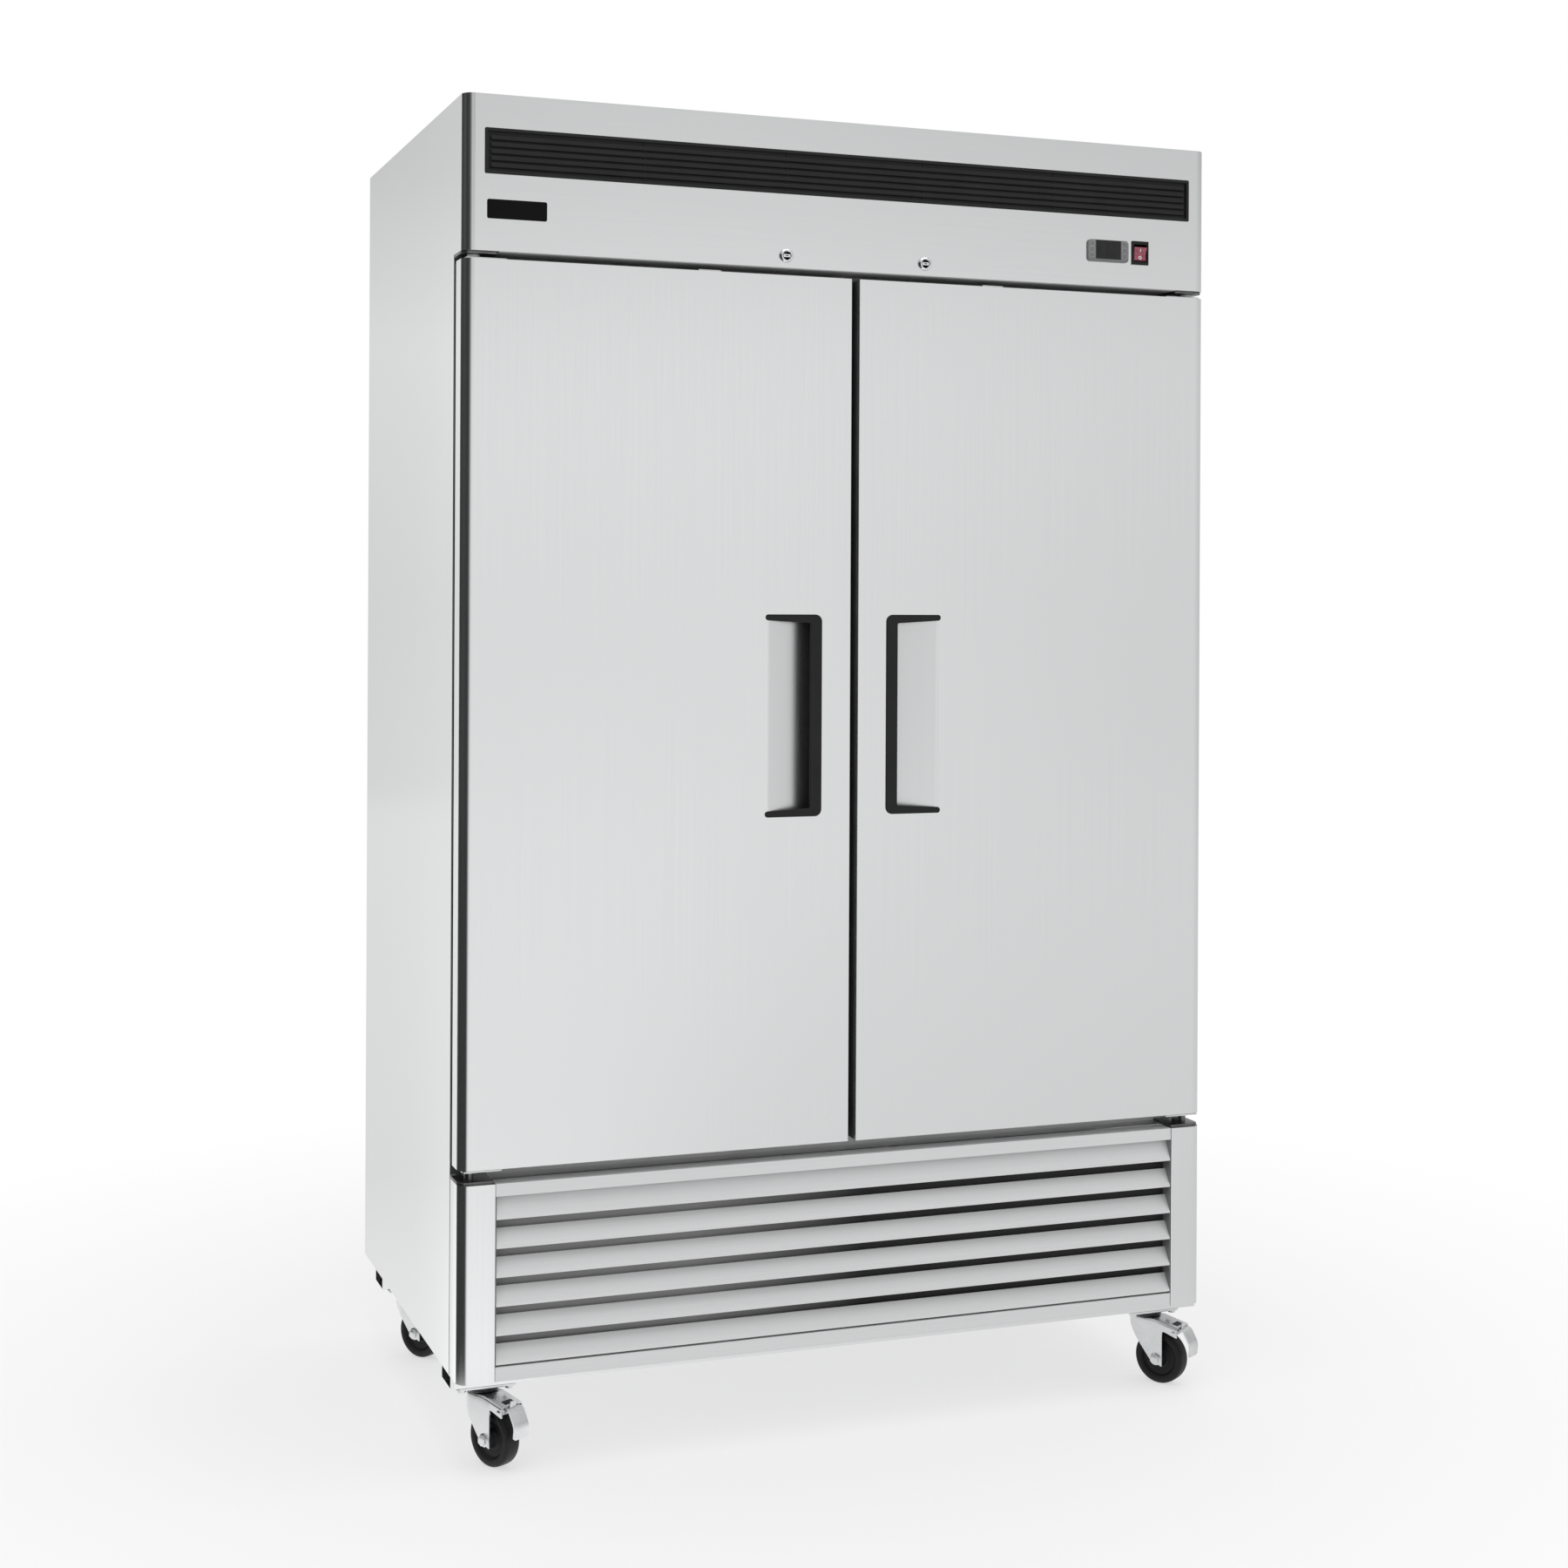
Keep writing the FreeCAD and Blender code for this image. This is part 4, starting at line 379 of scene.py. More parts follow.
# Polygon whose corners are arcs tangent to both sides
def roundCorners(corners, radii, steps=6):
    corners = np.asarray(corners, float)
    arcs = []
    for k, radius in enumerate(radii):
        here, before, after = corners[k], corners[k - 1], corners[(k + 1) % len(corners)]
        a = (before - here) / np.linalg.norm(before - here)
        b = (after - here) / np.linalg.norm(after - here)
        half = np.arccos(np.clip(a @ b, -1.0, 1.0)) / 2
        centre = here + (a + b) / np.linalg.norm(a + b) * radius / np.sin(half)
        start = here + a * radius / np.tan(half) - centre
        end = here + b * radius / np.tan(half) - centre
        begin = np.arctan2(start[1], start[0])
        sweepBy = (np.arctan2(end[1], end[0]) - begin + np.pi) % (2 * np.pi) - np.pi
        turn = begin + sweepBy * np.linspace(0, 1, steps)
        arcs.append(centre + radius * np.stack([np.cos(turn), np.sin(turn)], axis=1))
    return np.concatenate(arcs)


# Open line whose inner corners are bends, each with its own radius
def bendLine(points, radii, steps=6):
    points = np.asarray(points, float)
    arcs = [points[:1]]
    for k, radius in enumerate(radii, 1):
        arcs.append(roundCorners(points[k - 1:k + 2], [1e-9, radius, 1e-9], steps)[steps:2 * steps])
    return np.concatenate(arcs + [points[-1:]])


def roundBox(x0, z0, x1, z1, radius, steps=6):
    x0, x1 = sorted((x0, x1))
    return roundCorners([(x0, z0), (x1, z0), (x1, z1), (x0, z1)], [radius] * 4, steps)


def centredBox(wide, tall, radius, steps=6):
    return roundBox(-wide, -tall, wide, tall, radius, steps)


# Outline moved inwards by a distance, each point along the mean of its two side normals
def drawIn(outline, distance):
    side = np.roll(outline, -1, axis=0) - outline
    side = side / np.maximum(np.linalg.norm(side, axis=1, keepdims=True), 1e-12)
    normal = np.stack([-side[:, 1], side[:, 0]], axis=1)
    area = np.sum(outline[:, 0] * np.roll(outline[:, 1], -1) - np.roll(outline[:, 0], -1) * outline[:, 1])
    normal = normal * np.sign(area)
    before = np.roll(normal, 1, axis=0)
    mean = (normal + before) / (1.0 + np.sum(normal * before, axis=1, keepdims=True))
    return outline + mean * distance


# Plate with quarter-round rims: the outline draws in by the sine while the height climbs by the cosine
def plate(outline, frame, low, high, ease, steps=4):
    outline = np.asarray(outline, float)
    turn = np.linspace(0, np.pi / 2, steps)
    rings = [lay(frame, drawIn(outline, ease * (1 - np.sin(a))), low + ease * (1 - np.cos(a))) for a in turn]
    rings += [lay(frame, drawIn(outline, ease * (1 - np.cos(a))), high - ease * (1 - np.sin(a))) for a in turn]
    return loft(rings)


# Flat ring between two outlines of the same count, with its rims eased
def openPlate(outer, inner, frame, low, high, ease):
    stations = ((outer, 0.0, low), (outer, 0.0, high - ease), (outer, ease * 0.3, high - ease * 0.3),
                (outer, ease, high), (inner, -ease, high), (inner, -ease * 0.3, high - ease * 0.3),
                (inner, 0.0, high - ease), (inner, 0.0, low))
    return loft([lay(frame, drawIn(line, by) if by else line, height) for line, by, height in stations], wrap=True)


# Sheet with its outer face on a grid of points: the inner face is that grid moved back along its own normals
def shell(outer, thickness):
    normal = np.cross(np.gradient(outer, axis=0), np.gradient(outer, axis=1))
    normal = normal / np.maximum(np.linalg.norm(normal, axis=2, keepdims=True), 1e-15)
    rows, columns = outer.shape[:2]
    count = rows * columns
    points = np.concatenate([outer.reshape(-1, 3), (outer - normal * thickness).reshape(-1, 3)])
    faces = gridFaces(rows, columns)
    faces += [[q + count for q in face[::-1]] for face in faces]
    index = np.arange(count).reshape(rows, columns)
    rim = np.concatenate([index[0], index[1:, -1], index[-1, -2::-1], index[-2:0:-1, 0]])
    after = np.roll(rim, -1)
    faces += np.stack([rim, after, after + count, rim + count], axis=1).tolist()
    return points, faces


# Bent line drawn along one axis, with a station at each place; the line fills the other two axes in their order
def drawn(line, places, sheet, axis="x"):
    first, second = (np.repeat(line[:, k:k + 1], len(places), 1) for k in (0, 1))
    along = np.broadcast_to(places, first.shape)
    return shell(np.stack([along, first, second] if axis == "x" else [first, second, along], axis=2), sheet)


def drawnAcross(line, reach, sheet):
    return drawn(line, np.array([reach, reach / 3, -reach / 3, -reach]), sheet)


# Round wire: a circle carried along a path, its two axes found from the path's direction
def wire(path, radius, around=8, closed=False):
    path = np.asarray(path, float)
    along = np.roll(path, -1, axis=0) - np.roll(path, 1, axis=0) if closed else np.gradient(path, axis=0)
    along = along / np.linalg.norm(along, axis=1, keepdims=True)
    guide = np.eye(3)[np.argmin(np.abs(along).max(axis=0))]
    across = np.cross(along, guide)
    across = across / np.linalg.norm(across, axis=1, keepdims=True)
    up = np.cross(along, across)
    turn = np.linspace(0, 2 * np.pi, around, endpoint=False)[None, :, None]
    rings = path[:, None] + radius * (np.cos(turn) * across[:, None] + np.sin(turn) * up[:, None])
    return loft(rings, closed)


# Rectangular gasket: each profile point (inset, depth) makes one rectangle ring
def rectangleRings(x0, z0, x1, z1, profile):
    rings = [[(x0 + a, y, z0 + a), (x1 - a, y, z0 + a), (x1 - a, y, z1 - a), (x0 + a, y, z1 - a)] for a, y in profile]
    return loft(rings, wrap=True)


def enter(name, data):
    holder = bpy.data.objects.new(name, data)
    bpy.context.scene.collection.objects.link(holder)
    return holder


def addPiece(name, parts, finish, body, replaced=(), sharp=38, ease=0.0):
    points, faces, start = [], [], 0
    for partPoints, partFaces in parts:
        corners = np.array([(f[0], f[k], f[k + 1]) for f in partFaces for k in range(1, len(f) - 1)])
        a, b, c = (partPoints[corners[:, k]] for k in range(3))
        outward = np.sum(a * np.cross(b, c)) > 0  # the enclosed volume tells which way the faces look
        faces += [[q + start for q in (f if outward else f[::-1])] for f in partFaces]
        points.append(partPoints)
        start += len(partPoints)
    mesh = bpy.data.meshes.new(name)
    mesh.from_pydata(np.concatenate(points).tolist(), [], faces)
    mesh.shade_smooth()
    mesh.set_sharp_from_angle(angle=math.radians(sharp))
    mesh.materials.append(finishes[finish])
    piece = enter(name, mesh)
    if ease:
        easeEdges(piece, ease)
    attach(piece, body)
    if replaced:
        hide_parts(*replaced)


# Swivel castors: pressed fork, bolted plate, ball race, moulded wheel and brake pedal; profiles are (radius, height)
castorLook = {
    "spots": {"front_left": (-0.592, -0.311, 298), "front_right": (0.592, -0.311, 303),
              "rear_left": (-0.592, 0.255, 305), "rear_right": (0.592, 0.255, 300)},
    "crown": 0.1132, "half": 0.0225, "back": 0.029, "sheet": 0.0025, "bend": 0.004, "noseStart": 0.026,
    "drop": 0.009, "trail": 0.030, "axle": 0.045, "legFront": 0.042, "plateTop": 0.127, "plateLow": 0.123,
    "edge": ((-0.029, 0.1022), (-0.020, 0.0912), (0.019, 0.042), (0.042, 0.033)),
    "noses": {"front": (0.070, 0.0957, 0.0872), "rear": (0.046, 0.0997, 0.0952)}, "curl": 0.005,
    "pivot": (0.064, 0.0952), "pedalHalf": 0.015, "pedalCorner": 0.004, "openingShadeAt": 0.0605,
    "washer": ((0.0005, 0), (0.0105, 0), (0.0105, 0.0012), (0.0100, 0.0016), (0.0005, 0.0016)),
    "boltEnd": ((0.0005, 0.004), (0.005, 0.004), (0.005, 0.0078), (0.0042, 0.0084), (0.0005, 0.0084)),
    "pin": ((0.0005, -0.001), (0.0042, -0.001), (0.0040, 0.0006), (0.0030, 0.0013), (0.0005, 0.0016)),
    "barrel": ((0.0005, 0.0), (0.0052, 0.0), (0.0056, 0.0006), (0.0056, 0.0364), (0.0052, 0.037), (0.0005, 0.037)),
    "kingPin": ((0.0005, 0.1000), (0.0090, 0.1004), (0.0090, 0.1064), (0.006, 0.1068), (0.006, 0.1140),
                (0.0005, 0.1140)),
    "race": ((0.0005, 0.1135), (0.0215, 0.1135), (0.0240, 0.1141), (0.0258, 0.1156), (0.0262, 0.1172), (0.0250, 0.1180),
             (0.0262, 0.1188), (0.0262, 0.1206), (0.0248, 0.1220), (0.0220, 0.1231), (0.0005, 0.1231)),
    "wheelSide": ((0.0052, 0.0188), (0.0110, 0.0188), (0.0128, 0.0180), (0.0136, 0.0160), (0.0142, 0.0105),
                  (0.0158, 0.0088), (0.0200, 0.0082), (0.0206, 0.0088), (0.0230, 0.0088), (0.0236, 0.0082),
                  (0.0292, 0.0084), (0.0310, 0.0100), (0.0322, 0.0126), (0.0336, 0.0134), (0.0352, 0.0134),
                  (0.0358, 0.0139), (0.0392, 0.0140)),
    "shoulder": (0.0394, 0.0088, 0.0052), "tread": ((0.0449, 0.0060), (0.04498, 0.0020)),
}


# Fork sheet: a U profile, leg up, round the bend, over the crown and down again, carried from station to station;
# at the back the half width follows an ellipse round the king pin, and the lower edge of the leg is a softened line
def forkSheet(stations, halfWidth, lowEdge, nose):
    look = castorLook
    rows = []
    for x, half, low in zip(stations, halfWidth, lowEdge):
        fall = look["drop"] * max(0.0, x - look["noseStart"]) / (nose - look["noseStart"])
        top = look["crown"] - fall
        bend = min(look["bend"], half * 0.9)
        leg = [(half, low + (top - bend - low) * f) for f in np.linspace(0, 1, 7)]
        arc = [(half - bend + bend * np.cos(a), top - bend + bend * np.sin(a)) for a in np.linspace(0.25, 1.5708, 5)]
        side = leg + arc + [((half - bend) * 0.5, top)]
        profile = side + [(0.0, top)] + [(-y, z) for y, z in side[::-1]]
        rows.append([(x, y, z) for y, z in profile])
    return shell(np.array(rows), -look["sheet"])  # the profile is the outer face


def softLine(x, knots, window):
    fine = np.linspace(x.min() - window, x.max() + window, 400)
    line = np.interp(fine, *np.array(knots).T)
    size = max(3, int(window / (fine[1] - fine[0])))
    padded = np.pad(line, size, mode="edge")
    return np.interp(x, fine, np.convolve(padded, np.ones(size) / size, "same")[size:-size])


def hexagon(acrossFlats):
    return roundCorners(circleOf(6) * acrossFlats / math.sqrt(3), [0.0008] * 6, 4)


def castorFork(braked):
    look = castorLook
    nose, startLow, endLow = look["noses"]["front" if braked else "rear"]
    legFront, curlBy = look["legFront"], look["curl"]
    wrap = np.linspace(0.16, np.pi / 2, 14)
    x = np.concatenate([-look["back"] * np.cos(wrap), np.linspace(0.003, legFront, 16)])
    half = np.concatenate([look["half"] * np.sin(wrap), np.full(16, look["half"])])
    xNose = legFront + (nose - legFront) * np.linspace(0, 1, 14) ** 1.6
    curl = np.clip(1 - (xNose - legFront) / curlBy, 0, 1)
    low = np.interp(xNose, (legFront, nose), (startLow, endLow)) - curlBy * (1 - np.sqrt(1 - curl ** 2))
    parts = [forkSheet(x, half, softLine(x, look["edge"], 0.006), nose),
             forkSheet(xNose, np.full(14, look["half"]), low, nose)]
    for side in (-1, 1):  # hex bolt with washer on one leg, nut and bolt end on the other
        seat = sideways(look["trail"], side * look["half"], look["axle"], side)
        parts += [revolve(look["washer"], seat, 28), plate(hexagon(0.0145), seat, 0.0014, 0.0066, 0.0010)]
        if side > 0:
            parts.append(revolve(look["boltEnd"], seat, 20))
        if braked:
            pin = sideways(look["pivot"][0], side * look["half"], look["pivot"][1], side)
            parts.append(revolve(look["pin"], pin, 18))
    return parts


# Wheel: half of its profile from the bore over the hub, the dished web and the rim to a crowned tread, mirrored
def castorWheel():
    look = castorLook
    radius, depth, bend = look["shoulder"]
    arc = [(radius + bend * np.sin(a), depth + bend * np.cos(a)) for a in np.linspace(0.25, 1.35, 6)]
    side = [*look["wheelSide"], *arc, *look["tread"]]
    hub = sideways(look["trail"], 0, look["axle"])
    return [revolve(side + [(radius, -depth) for radius, depth in side[::-1]], hub, 72, True)]


# Pedal: a bent strip, its side line three straights and two bends, its width drawn in round the lower corners
def brakePedal():
    look = castorLook
    px, pz = look["pivot"]
    corner = look["pedalCorner"]
    bent = bendLine([(px - 0.003, pz + 0.0034), (px + 0.0135, pz + 0.0034), (px + 0.0268, pz - 0.020),
                     (px + 0.0245, pz - 0.0390)], [0.007, 0.020], 9)
    line = np.concatenate([bent[:-1], np.linspace(bent[-2], bent[-1], 12)[1:]])
    toEnd = np.cumsum(np.linalg.norm(np.diff(line[::-1], axis=0, prepend=line[-1:]), axis=1))[::-1]
    gap = np.clip(corner - toEnd, 0, corner)
    half = look["pedalHalf"] - corner + np.sqrt(np.maximum(corner ** 2 - gap ** 2, 0))
    across = half[:, None] * np.linspace(1, -1, 9)[None, :]
    grid = np.stack([np.repeat(line[:, :1], 9, 1), across, np.repeat(line[:, 1:], 9, 1)], axis=2)
    tab = frameAt((px + 0.0075, 0.0, pz + 0.001), (0, 1, 0), (0, 0, 1))  # finger tab turned up behind the bend
    tabShape = roundCorners([(-0.007, 0), (0.007, 0), (0.0055, 0.014), (-0.0055, 0.014)],
                            [0.0005, 0.0005, 0.002, 0.002])
    return [shell(grid, 0.0026), plate(tabShape, tab, -0.0012, 0.0012, 0.0006),
            revolve(look["barrel"], sideways(px, -0.0185, pz), 18)]


# Dark plate on the sloping nose of a braked fork: painted shade standing in for a window pressed through it
def forkOpeningShade():
    look = castorLook
    fall = math.atan2(look["drop"], look["noses"]["front"][0] - look["noseStart"])
    top = look["crown"] - (look["openingShadeAt"] - look["noseStart"]) * math.tan(fall)
    slope = frameAt((look["openingShadeAt"], 0, top), (math.cos(fall), 0.0, -math.sin(fall)), (0, 1, 0))
    return [plate(centredBox(0.0055, 0.0100, 0.0015), slope, -0.0006, 0.0003, 0.0001, 2)]


def turnAbout(parts, spot, degrees):
    angle = math.radians(degrees)
    cosine, sine = math.cos(angle), math.sin(angle)
    turn = np.array([[cosine, -sine, 0.0], [sine, cosine, 0.0], [0.0, 0.0, 1.0]])
    return [(points @ turn.T + np.array([spot[0], spot[1], 0.0]), faces) for points, faces in parts]


plates, races = [], []
for corner, (x, y, degrees) in castorLook["spots"].items():
    braked = corner.startswith("front")
    fork, wheel, pedal = f"castor_fork_{corner}", f"castor_wheel_{corner}", f"brake_pedal_{corner}"
    addPiece(fork + "_sheet", turnAbout(castorFork(braked), (x, y), degrees), "pressed", f"fork_{corner}",
             (fork,), 42, 0.0004)
    addPiece(wheel + "_tyre", turnAbout(castorWheel(), (x, y), degrees), "rubber", f"wheel_{corner}",
             (wheel,))
    if braked:
        # a thin black plate as painted shade where the window opens into the fork
        addPiece(fork + "_window", turnAbout(forkOpeningShade(), (x, y), degrees), "handle", f"fork_{corner}")
        addPiece(pedal + "_sheet", turnAbout(brakePedal(), (x, y), degrees), "pressed", f"pedal_{corner}",
                 (pedal,), 42)
    low, bed = castorLook["plateLow"], lying(x, y)
    plates.append(plate(centredBox(0.048, 0.032, 0.007), bed, low, castorLook["plateTop"], 0.0008))
    for dx, dy in ((-1, -1), (-1, 1), (1, -1), (1, 1)):
        bolt = frameAt((x + dx * 0.038, y + dy * 0.022, low), (1, 0, 0), (0, -1, 0))
        plates.append(plate(hexagon(0.012), bolt, 0.0, 0.0048, 0.0008))
    plates.append(revolve(castorLook["kingPin"], bed, 20))
    races.append(revolve(castorLook["race"], bed, 44))
addPiece("castor_top_plates", plates, "pressed", "cabinet", ("castor_plates",))
# the races are black: partly their own dark enamel, partly painted shade under the plate
addPiece("castor_ball_races", races, "enamel", "cabinet")
print("castors made")


# Door handles: an open frame with rounded corners, a grip edge, its lining and two cheeks, over a pressed scoop
handleLook = {"low": 1.009, "high": 1.336, "edge": 0.0566, "bar": 0.020, "width": 0.097, "arm": 0.0095, "root": 0.014,
              "front": -0.396, "proud": 0.002, "lip": 0.0032, "inset": 0.0095, "cheek": 0.0090, "deep": 0.0358,
              "corners": (0.0115, 0.0045, 0.0045, 0.003, 0.003, 0.0045, 0.0045, 0.0115),
              "scoop": ((0.0938, 0.00004), (0.0906, 0.00012), (0.0062, 0.0268)), "scoopInset": 0.0088}
for side, m in bothSides:
    h = handleLook
    low, high, lip, deep = h["low"], h["high"], h["lip"], h["deep"]
    flip = (1, m)
    face = frameAt((m * h["edge"], h["front"], 0), (m, 0, 0), (0, 0, m))  # height runs towards the viewer
    upward = frameAt((m * h["edge"], h["front"], 0), (m, 0, 0), (0, m, 0))  # height runs up the door
    outline = roundCorners([(0, low), (h["width"], low), (h["width"], low + h["arm"]), (h["bar"], low + h["root"]),
                            (h["bar"], high - h["root"]), (h["width"], high - h["arm"]), (h["width"], high), (0, high)],
                           h["corners"], 8)
    parts = [plate(outline * flip, face, -0.0011, h["proud"], 0.0011, 5)]
    for reach, back, front, ease in ((0.0198, -0.0034, -0.0004, 0.0010), (0.0057, -deep, -0.002, 0.0004)):
        lining = roundBox(lip, low + h["inset"], reach, high - h["inset"], 0.0004)
        parts.append(plate(lining * flip, face, back, front, ease))
    cheek = roundCorners([(lip, -0.0005), (lip, deep), (0.0258, deep), (0.0924, -0.0005)],
                         [0.0004, 0.001, 0.002, 0.0004])
    for first, last in ((low + lip, low + h["cheek"]), (high - h["cheek"], high - lip)):
        parts.append(plate(cheek * flip, upward, first, last, 0.0006))
    line = (bendLine(h["scoop"], [0.016], 8) + (h["edge"], h["front"])) * (m, 1)  # flat, bend and slope
    heights = np.linspace(low + h["scoopInset"], high - h["scoopInset"], 4)[::m]
    addPiece(f"door_scoop_{side}_sheet", [drawn(line, heights, -0.0006, "z")], "steelScoop", f"{side}_door",
             (), 30)
    addPiece(f"door_handle_{side}_moulding", parts, "handle", f"{side}_door", (f"door_handle_{side}",))
print("handles made")


# Vent grille: an eased frame round sloping blades, with a dark baffle behind
grilleLook = {"half": 0.617, "low": 2.014, "high": 2.085, "border": 0.0051, "slot": 0.0076, "pitch": 0.01065,
              "front": -0.396, "blades": 5, "ribs": (-0.36, -0.12, 0.12, 0.36), "rib": 0.0012, "inset": 0.005}


def ventGrille():
    g = grilleLook
    face = facing(y=g["front"])
    reach, low, high = g["half"] - g["border"], g["low"] + g["border"], g["high"] - g["border"]
    outer = roundBox(-g["half"], g["low"], g["half"], g["high"], 0.0025)
    parts = [openPlate(outer, roundBox(-reach, low, reach, high, 0.001), face, -0.0094, 0.0012, 0.0006),
             plate(drawIn(outer, 0.002), face, -0.0042, -0.0036, 0.0001, 2)]
    side = frameAt((reach - g["inset"], g["front"], 0), (0, -1, 0), (0, 0, 1))  # height runs along the blade
    for k in range(g["blades"]):
        z = low + g["slot"] + 0.0015 + k * g["pitch"]
        blade = roundCorners([(0.0004, z - 0.0034), (0.0004, z + 0.0034), (-0.0054, z - 0.0020), (-0.0054, z - 0.0060)],
                             [0.0006, 0.0006, 0.0004, 0.0004], 4)
        parts.append(plate(blade, side, 0.0, 2 * reach - 2 * g["inset"], 0.0001, 2))
    for x in g["ribs"]:  # ribs that carry the blades
        rib = roundBox(x - g["rib"], low, x + g["rib"], high, 0.0004, 3)
        parts.append(plate(rib, face, -0.0040, -0.0020, 0.0003, 2))
    return parts


addPiece("vent_grille_blades", ventGrille(), "grille", "cabinet", ("vent_grille",))


# Louvre: each blade is one bent line, a return, a lip and a sloping face, drawn along the width, over a filter mat
louvreLook = {"half": 0.5915, "front": -0.3945, "low": 0.149, "high": 0.455, "bottom": 0.0225, "top": 0.020,
              "gap": 0.003, "pitch": 0.0449, "lip": 0.0035, "run": 0.018, "rise": 0.0285, "lastRise": 0.0375,
              "blades": 6, "sheet": 0.0012, "depth": 0.032, "return": 0.005, "turnIn": 0.012, "bend": 0.0012,
              "clear": 0.0015}


def louvrePanel():
    v = louvreLook
    front, back, reach, bends = v["front"], v["front"] + v["depth"], v["half"] - v["sheet"], [v["bend"]] * 2
    parts = []
    for k in range(v["blades"]):
        low = v["low"] + v["bottom"] + v["gap"] + k * v["pitch"]
        rise = v["rise"] if k < v["blades"] - 1 else v["lastRise"]
        line = [(front + v["return"], low), (front, low), (front, low + v["lip"]), (front + v["run"], low + rise)]
        parts.append(drawnAcross(bendLine(line, bends), reach, v["sheet"]))
    sill, lintel, turnIn = v["low"] + v["bottom"], v["high"] - v["top"], front + v["turnIn"]
    for line in ([(back, v["low"]), (front, v["low"]), (front, sill), (turnIn, sill)],
                 [(turnIn, lintel), (front, lintel), (front, v["high"]), (back, v["high"])]):
        parts.append(drawnAcross(bendLine(line, bends), v["half"], v["sheet"]))
    low, high = v["low"] + v["clear"], v["high"] - v["clear"]
    wall = roundBox(front + 0.0004, low, back, high, 0.0005, 3)
    across = frameAt((0, 0, 0), (0, 1, 0), (0, 0, 1))
    ends = [plate(wall, across, first, last, 0.0002, 2) for first, last in ((-v["half"], -reach), (reach, v["half"]))]
    mat = plate(roundBox(-reach, low, reach, high, 0.002, 3), facing(y=front), -0.0300, -0.0240, 0.0010, 3)
    return parts, ends, [mat]


blades, ends, behind = louvrePanel()
addPiece("louvre_blades", blades, "steelDull", "cabinet", ("louvre_panel",), 30)
# the end walls are steel deep in the louvre; the dark grey plastic finish is painted shade for them
addPiece("louvre_ends", ends, "greyPlastic", "cabinet")
addPiece("louvre_filter", behind, "filter", "cabinet")


# Corner posts: one bent line in plan, return, front, rounded corner, side and a turned-in rear edge, drawn up the post
postLook = {"inner": 0.592, "outer": 0.650, "front": -0.396, "rear": -0.333, "low": 0.149, "high": 0.455,
            "sheet": 0.0012, "bends": (0.0015, 0.018, 0.0018), "return": -0.366, "turnIn": 0.636}
for side, m in bothSides:
    c = postLook
    inner, outer, front, rear, high = m * c["inner"], m * c["outer"], c["front"], c["rear"], c["high"]
    plan = bendLine([(inner, c["return"]), (inner, front), (outer, front), (outer, rear),
                     (m * c["turnIn"], rear + 0.0015)], c["bends"], 14)
    lid = roundCorners([(inner, front), (outer, front), (outer, rear), (inner, rear)], [*c["bends"], 0.0005], 14)
    addPiece(f"corner_post_{side}_fold",
             [drawn(plan, np.linspace(c["low"], high, 5)[::m], c["sheet"], "z"),
              plate(drawIn(lid, 0.0002), lying(), high - c["sheet"], high, 0.0003)],
             "steelUp", "cabinet", (f"corner_post_{side}",), 30)


# Controller: a bezel with round corners open over the display, keys in thin rims
controllerLook = {"x": 0.4604, "z": 1.9545, "wide": 0.0385, "tall": 0.0185, "corner": 0.006,
                  "front": -0.396, "proud": 0.004,
                  "keys": {"left": -0.031, "right": 0.031}, "rows": {"bottom": -0.008, "middle": 0.002, "top": 0.012},
                  "rim": (0.0050, 0.0043, 0.0018), "well": (0.0043, 0.0036, 0.0013), "cap": (0.0041, 0.0034, 0.0012)}
k = controllerLook
face = facing(k["x"], k["front"], k["z"])
outer = centredBox(k["wide"], k["tall"], k["corner"], 10)
inner = roundBox(-0.0236, -0.0138, 0.0236, 0.0174, 0.0012, 10)
case = [openPlate(outer, inner, face, -0.0005, k["proud"], 0.0005),
        plate(centredBox(0.0355, 0.0155, 0.002), face, -0.048, 0.0026, 0.0006)]
rims = []
for column, dx in k["keys"].items():
    for row, dz in k["rows"].items():
        key = f"key_{column}_{row}"
        seat = facing(k["x"] + dx, k["front"], k["z"] + dz)
        rims.append(openPlate(centredBox(*k["rim"]), centredBox(*k["well"]), seat, 0.0036, 0.0043, 0.0002))
        addPiece(key + "_cap", [plate(centredBox(*k["cap"]), seat, 0.0023, 0.0049, 0.0006)], "greyPlastic", key,
                 (key,))
addPiece("controller_bezel", case, "greyPlastic", "cabinet", ("controller_case",))
addPiece("controller_key_rims", rims, "key", "cabinet")


# Rocker: a shallow V with a soft valley, tilted about its pivot, with the usual line and ring marks
rockerLook = {"x": 0.5225, "y": -0.388, "z": 1.9545, "tilt": 9.0, "half": 0.0117, "front": 0.011, "valley": 0.0025,
              "tip": 0.0115, "back": 0.005, "bends": (0.0012, 0.012, 0.0012, 0.0006, 0.001, 0.0006)}


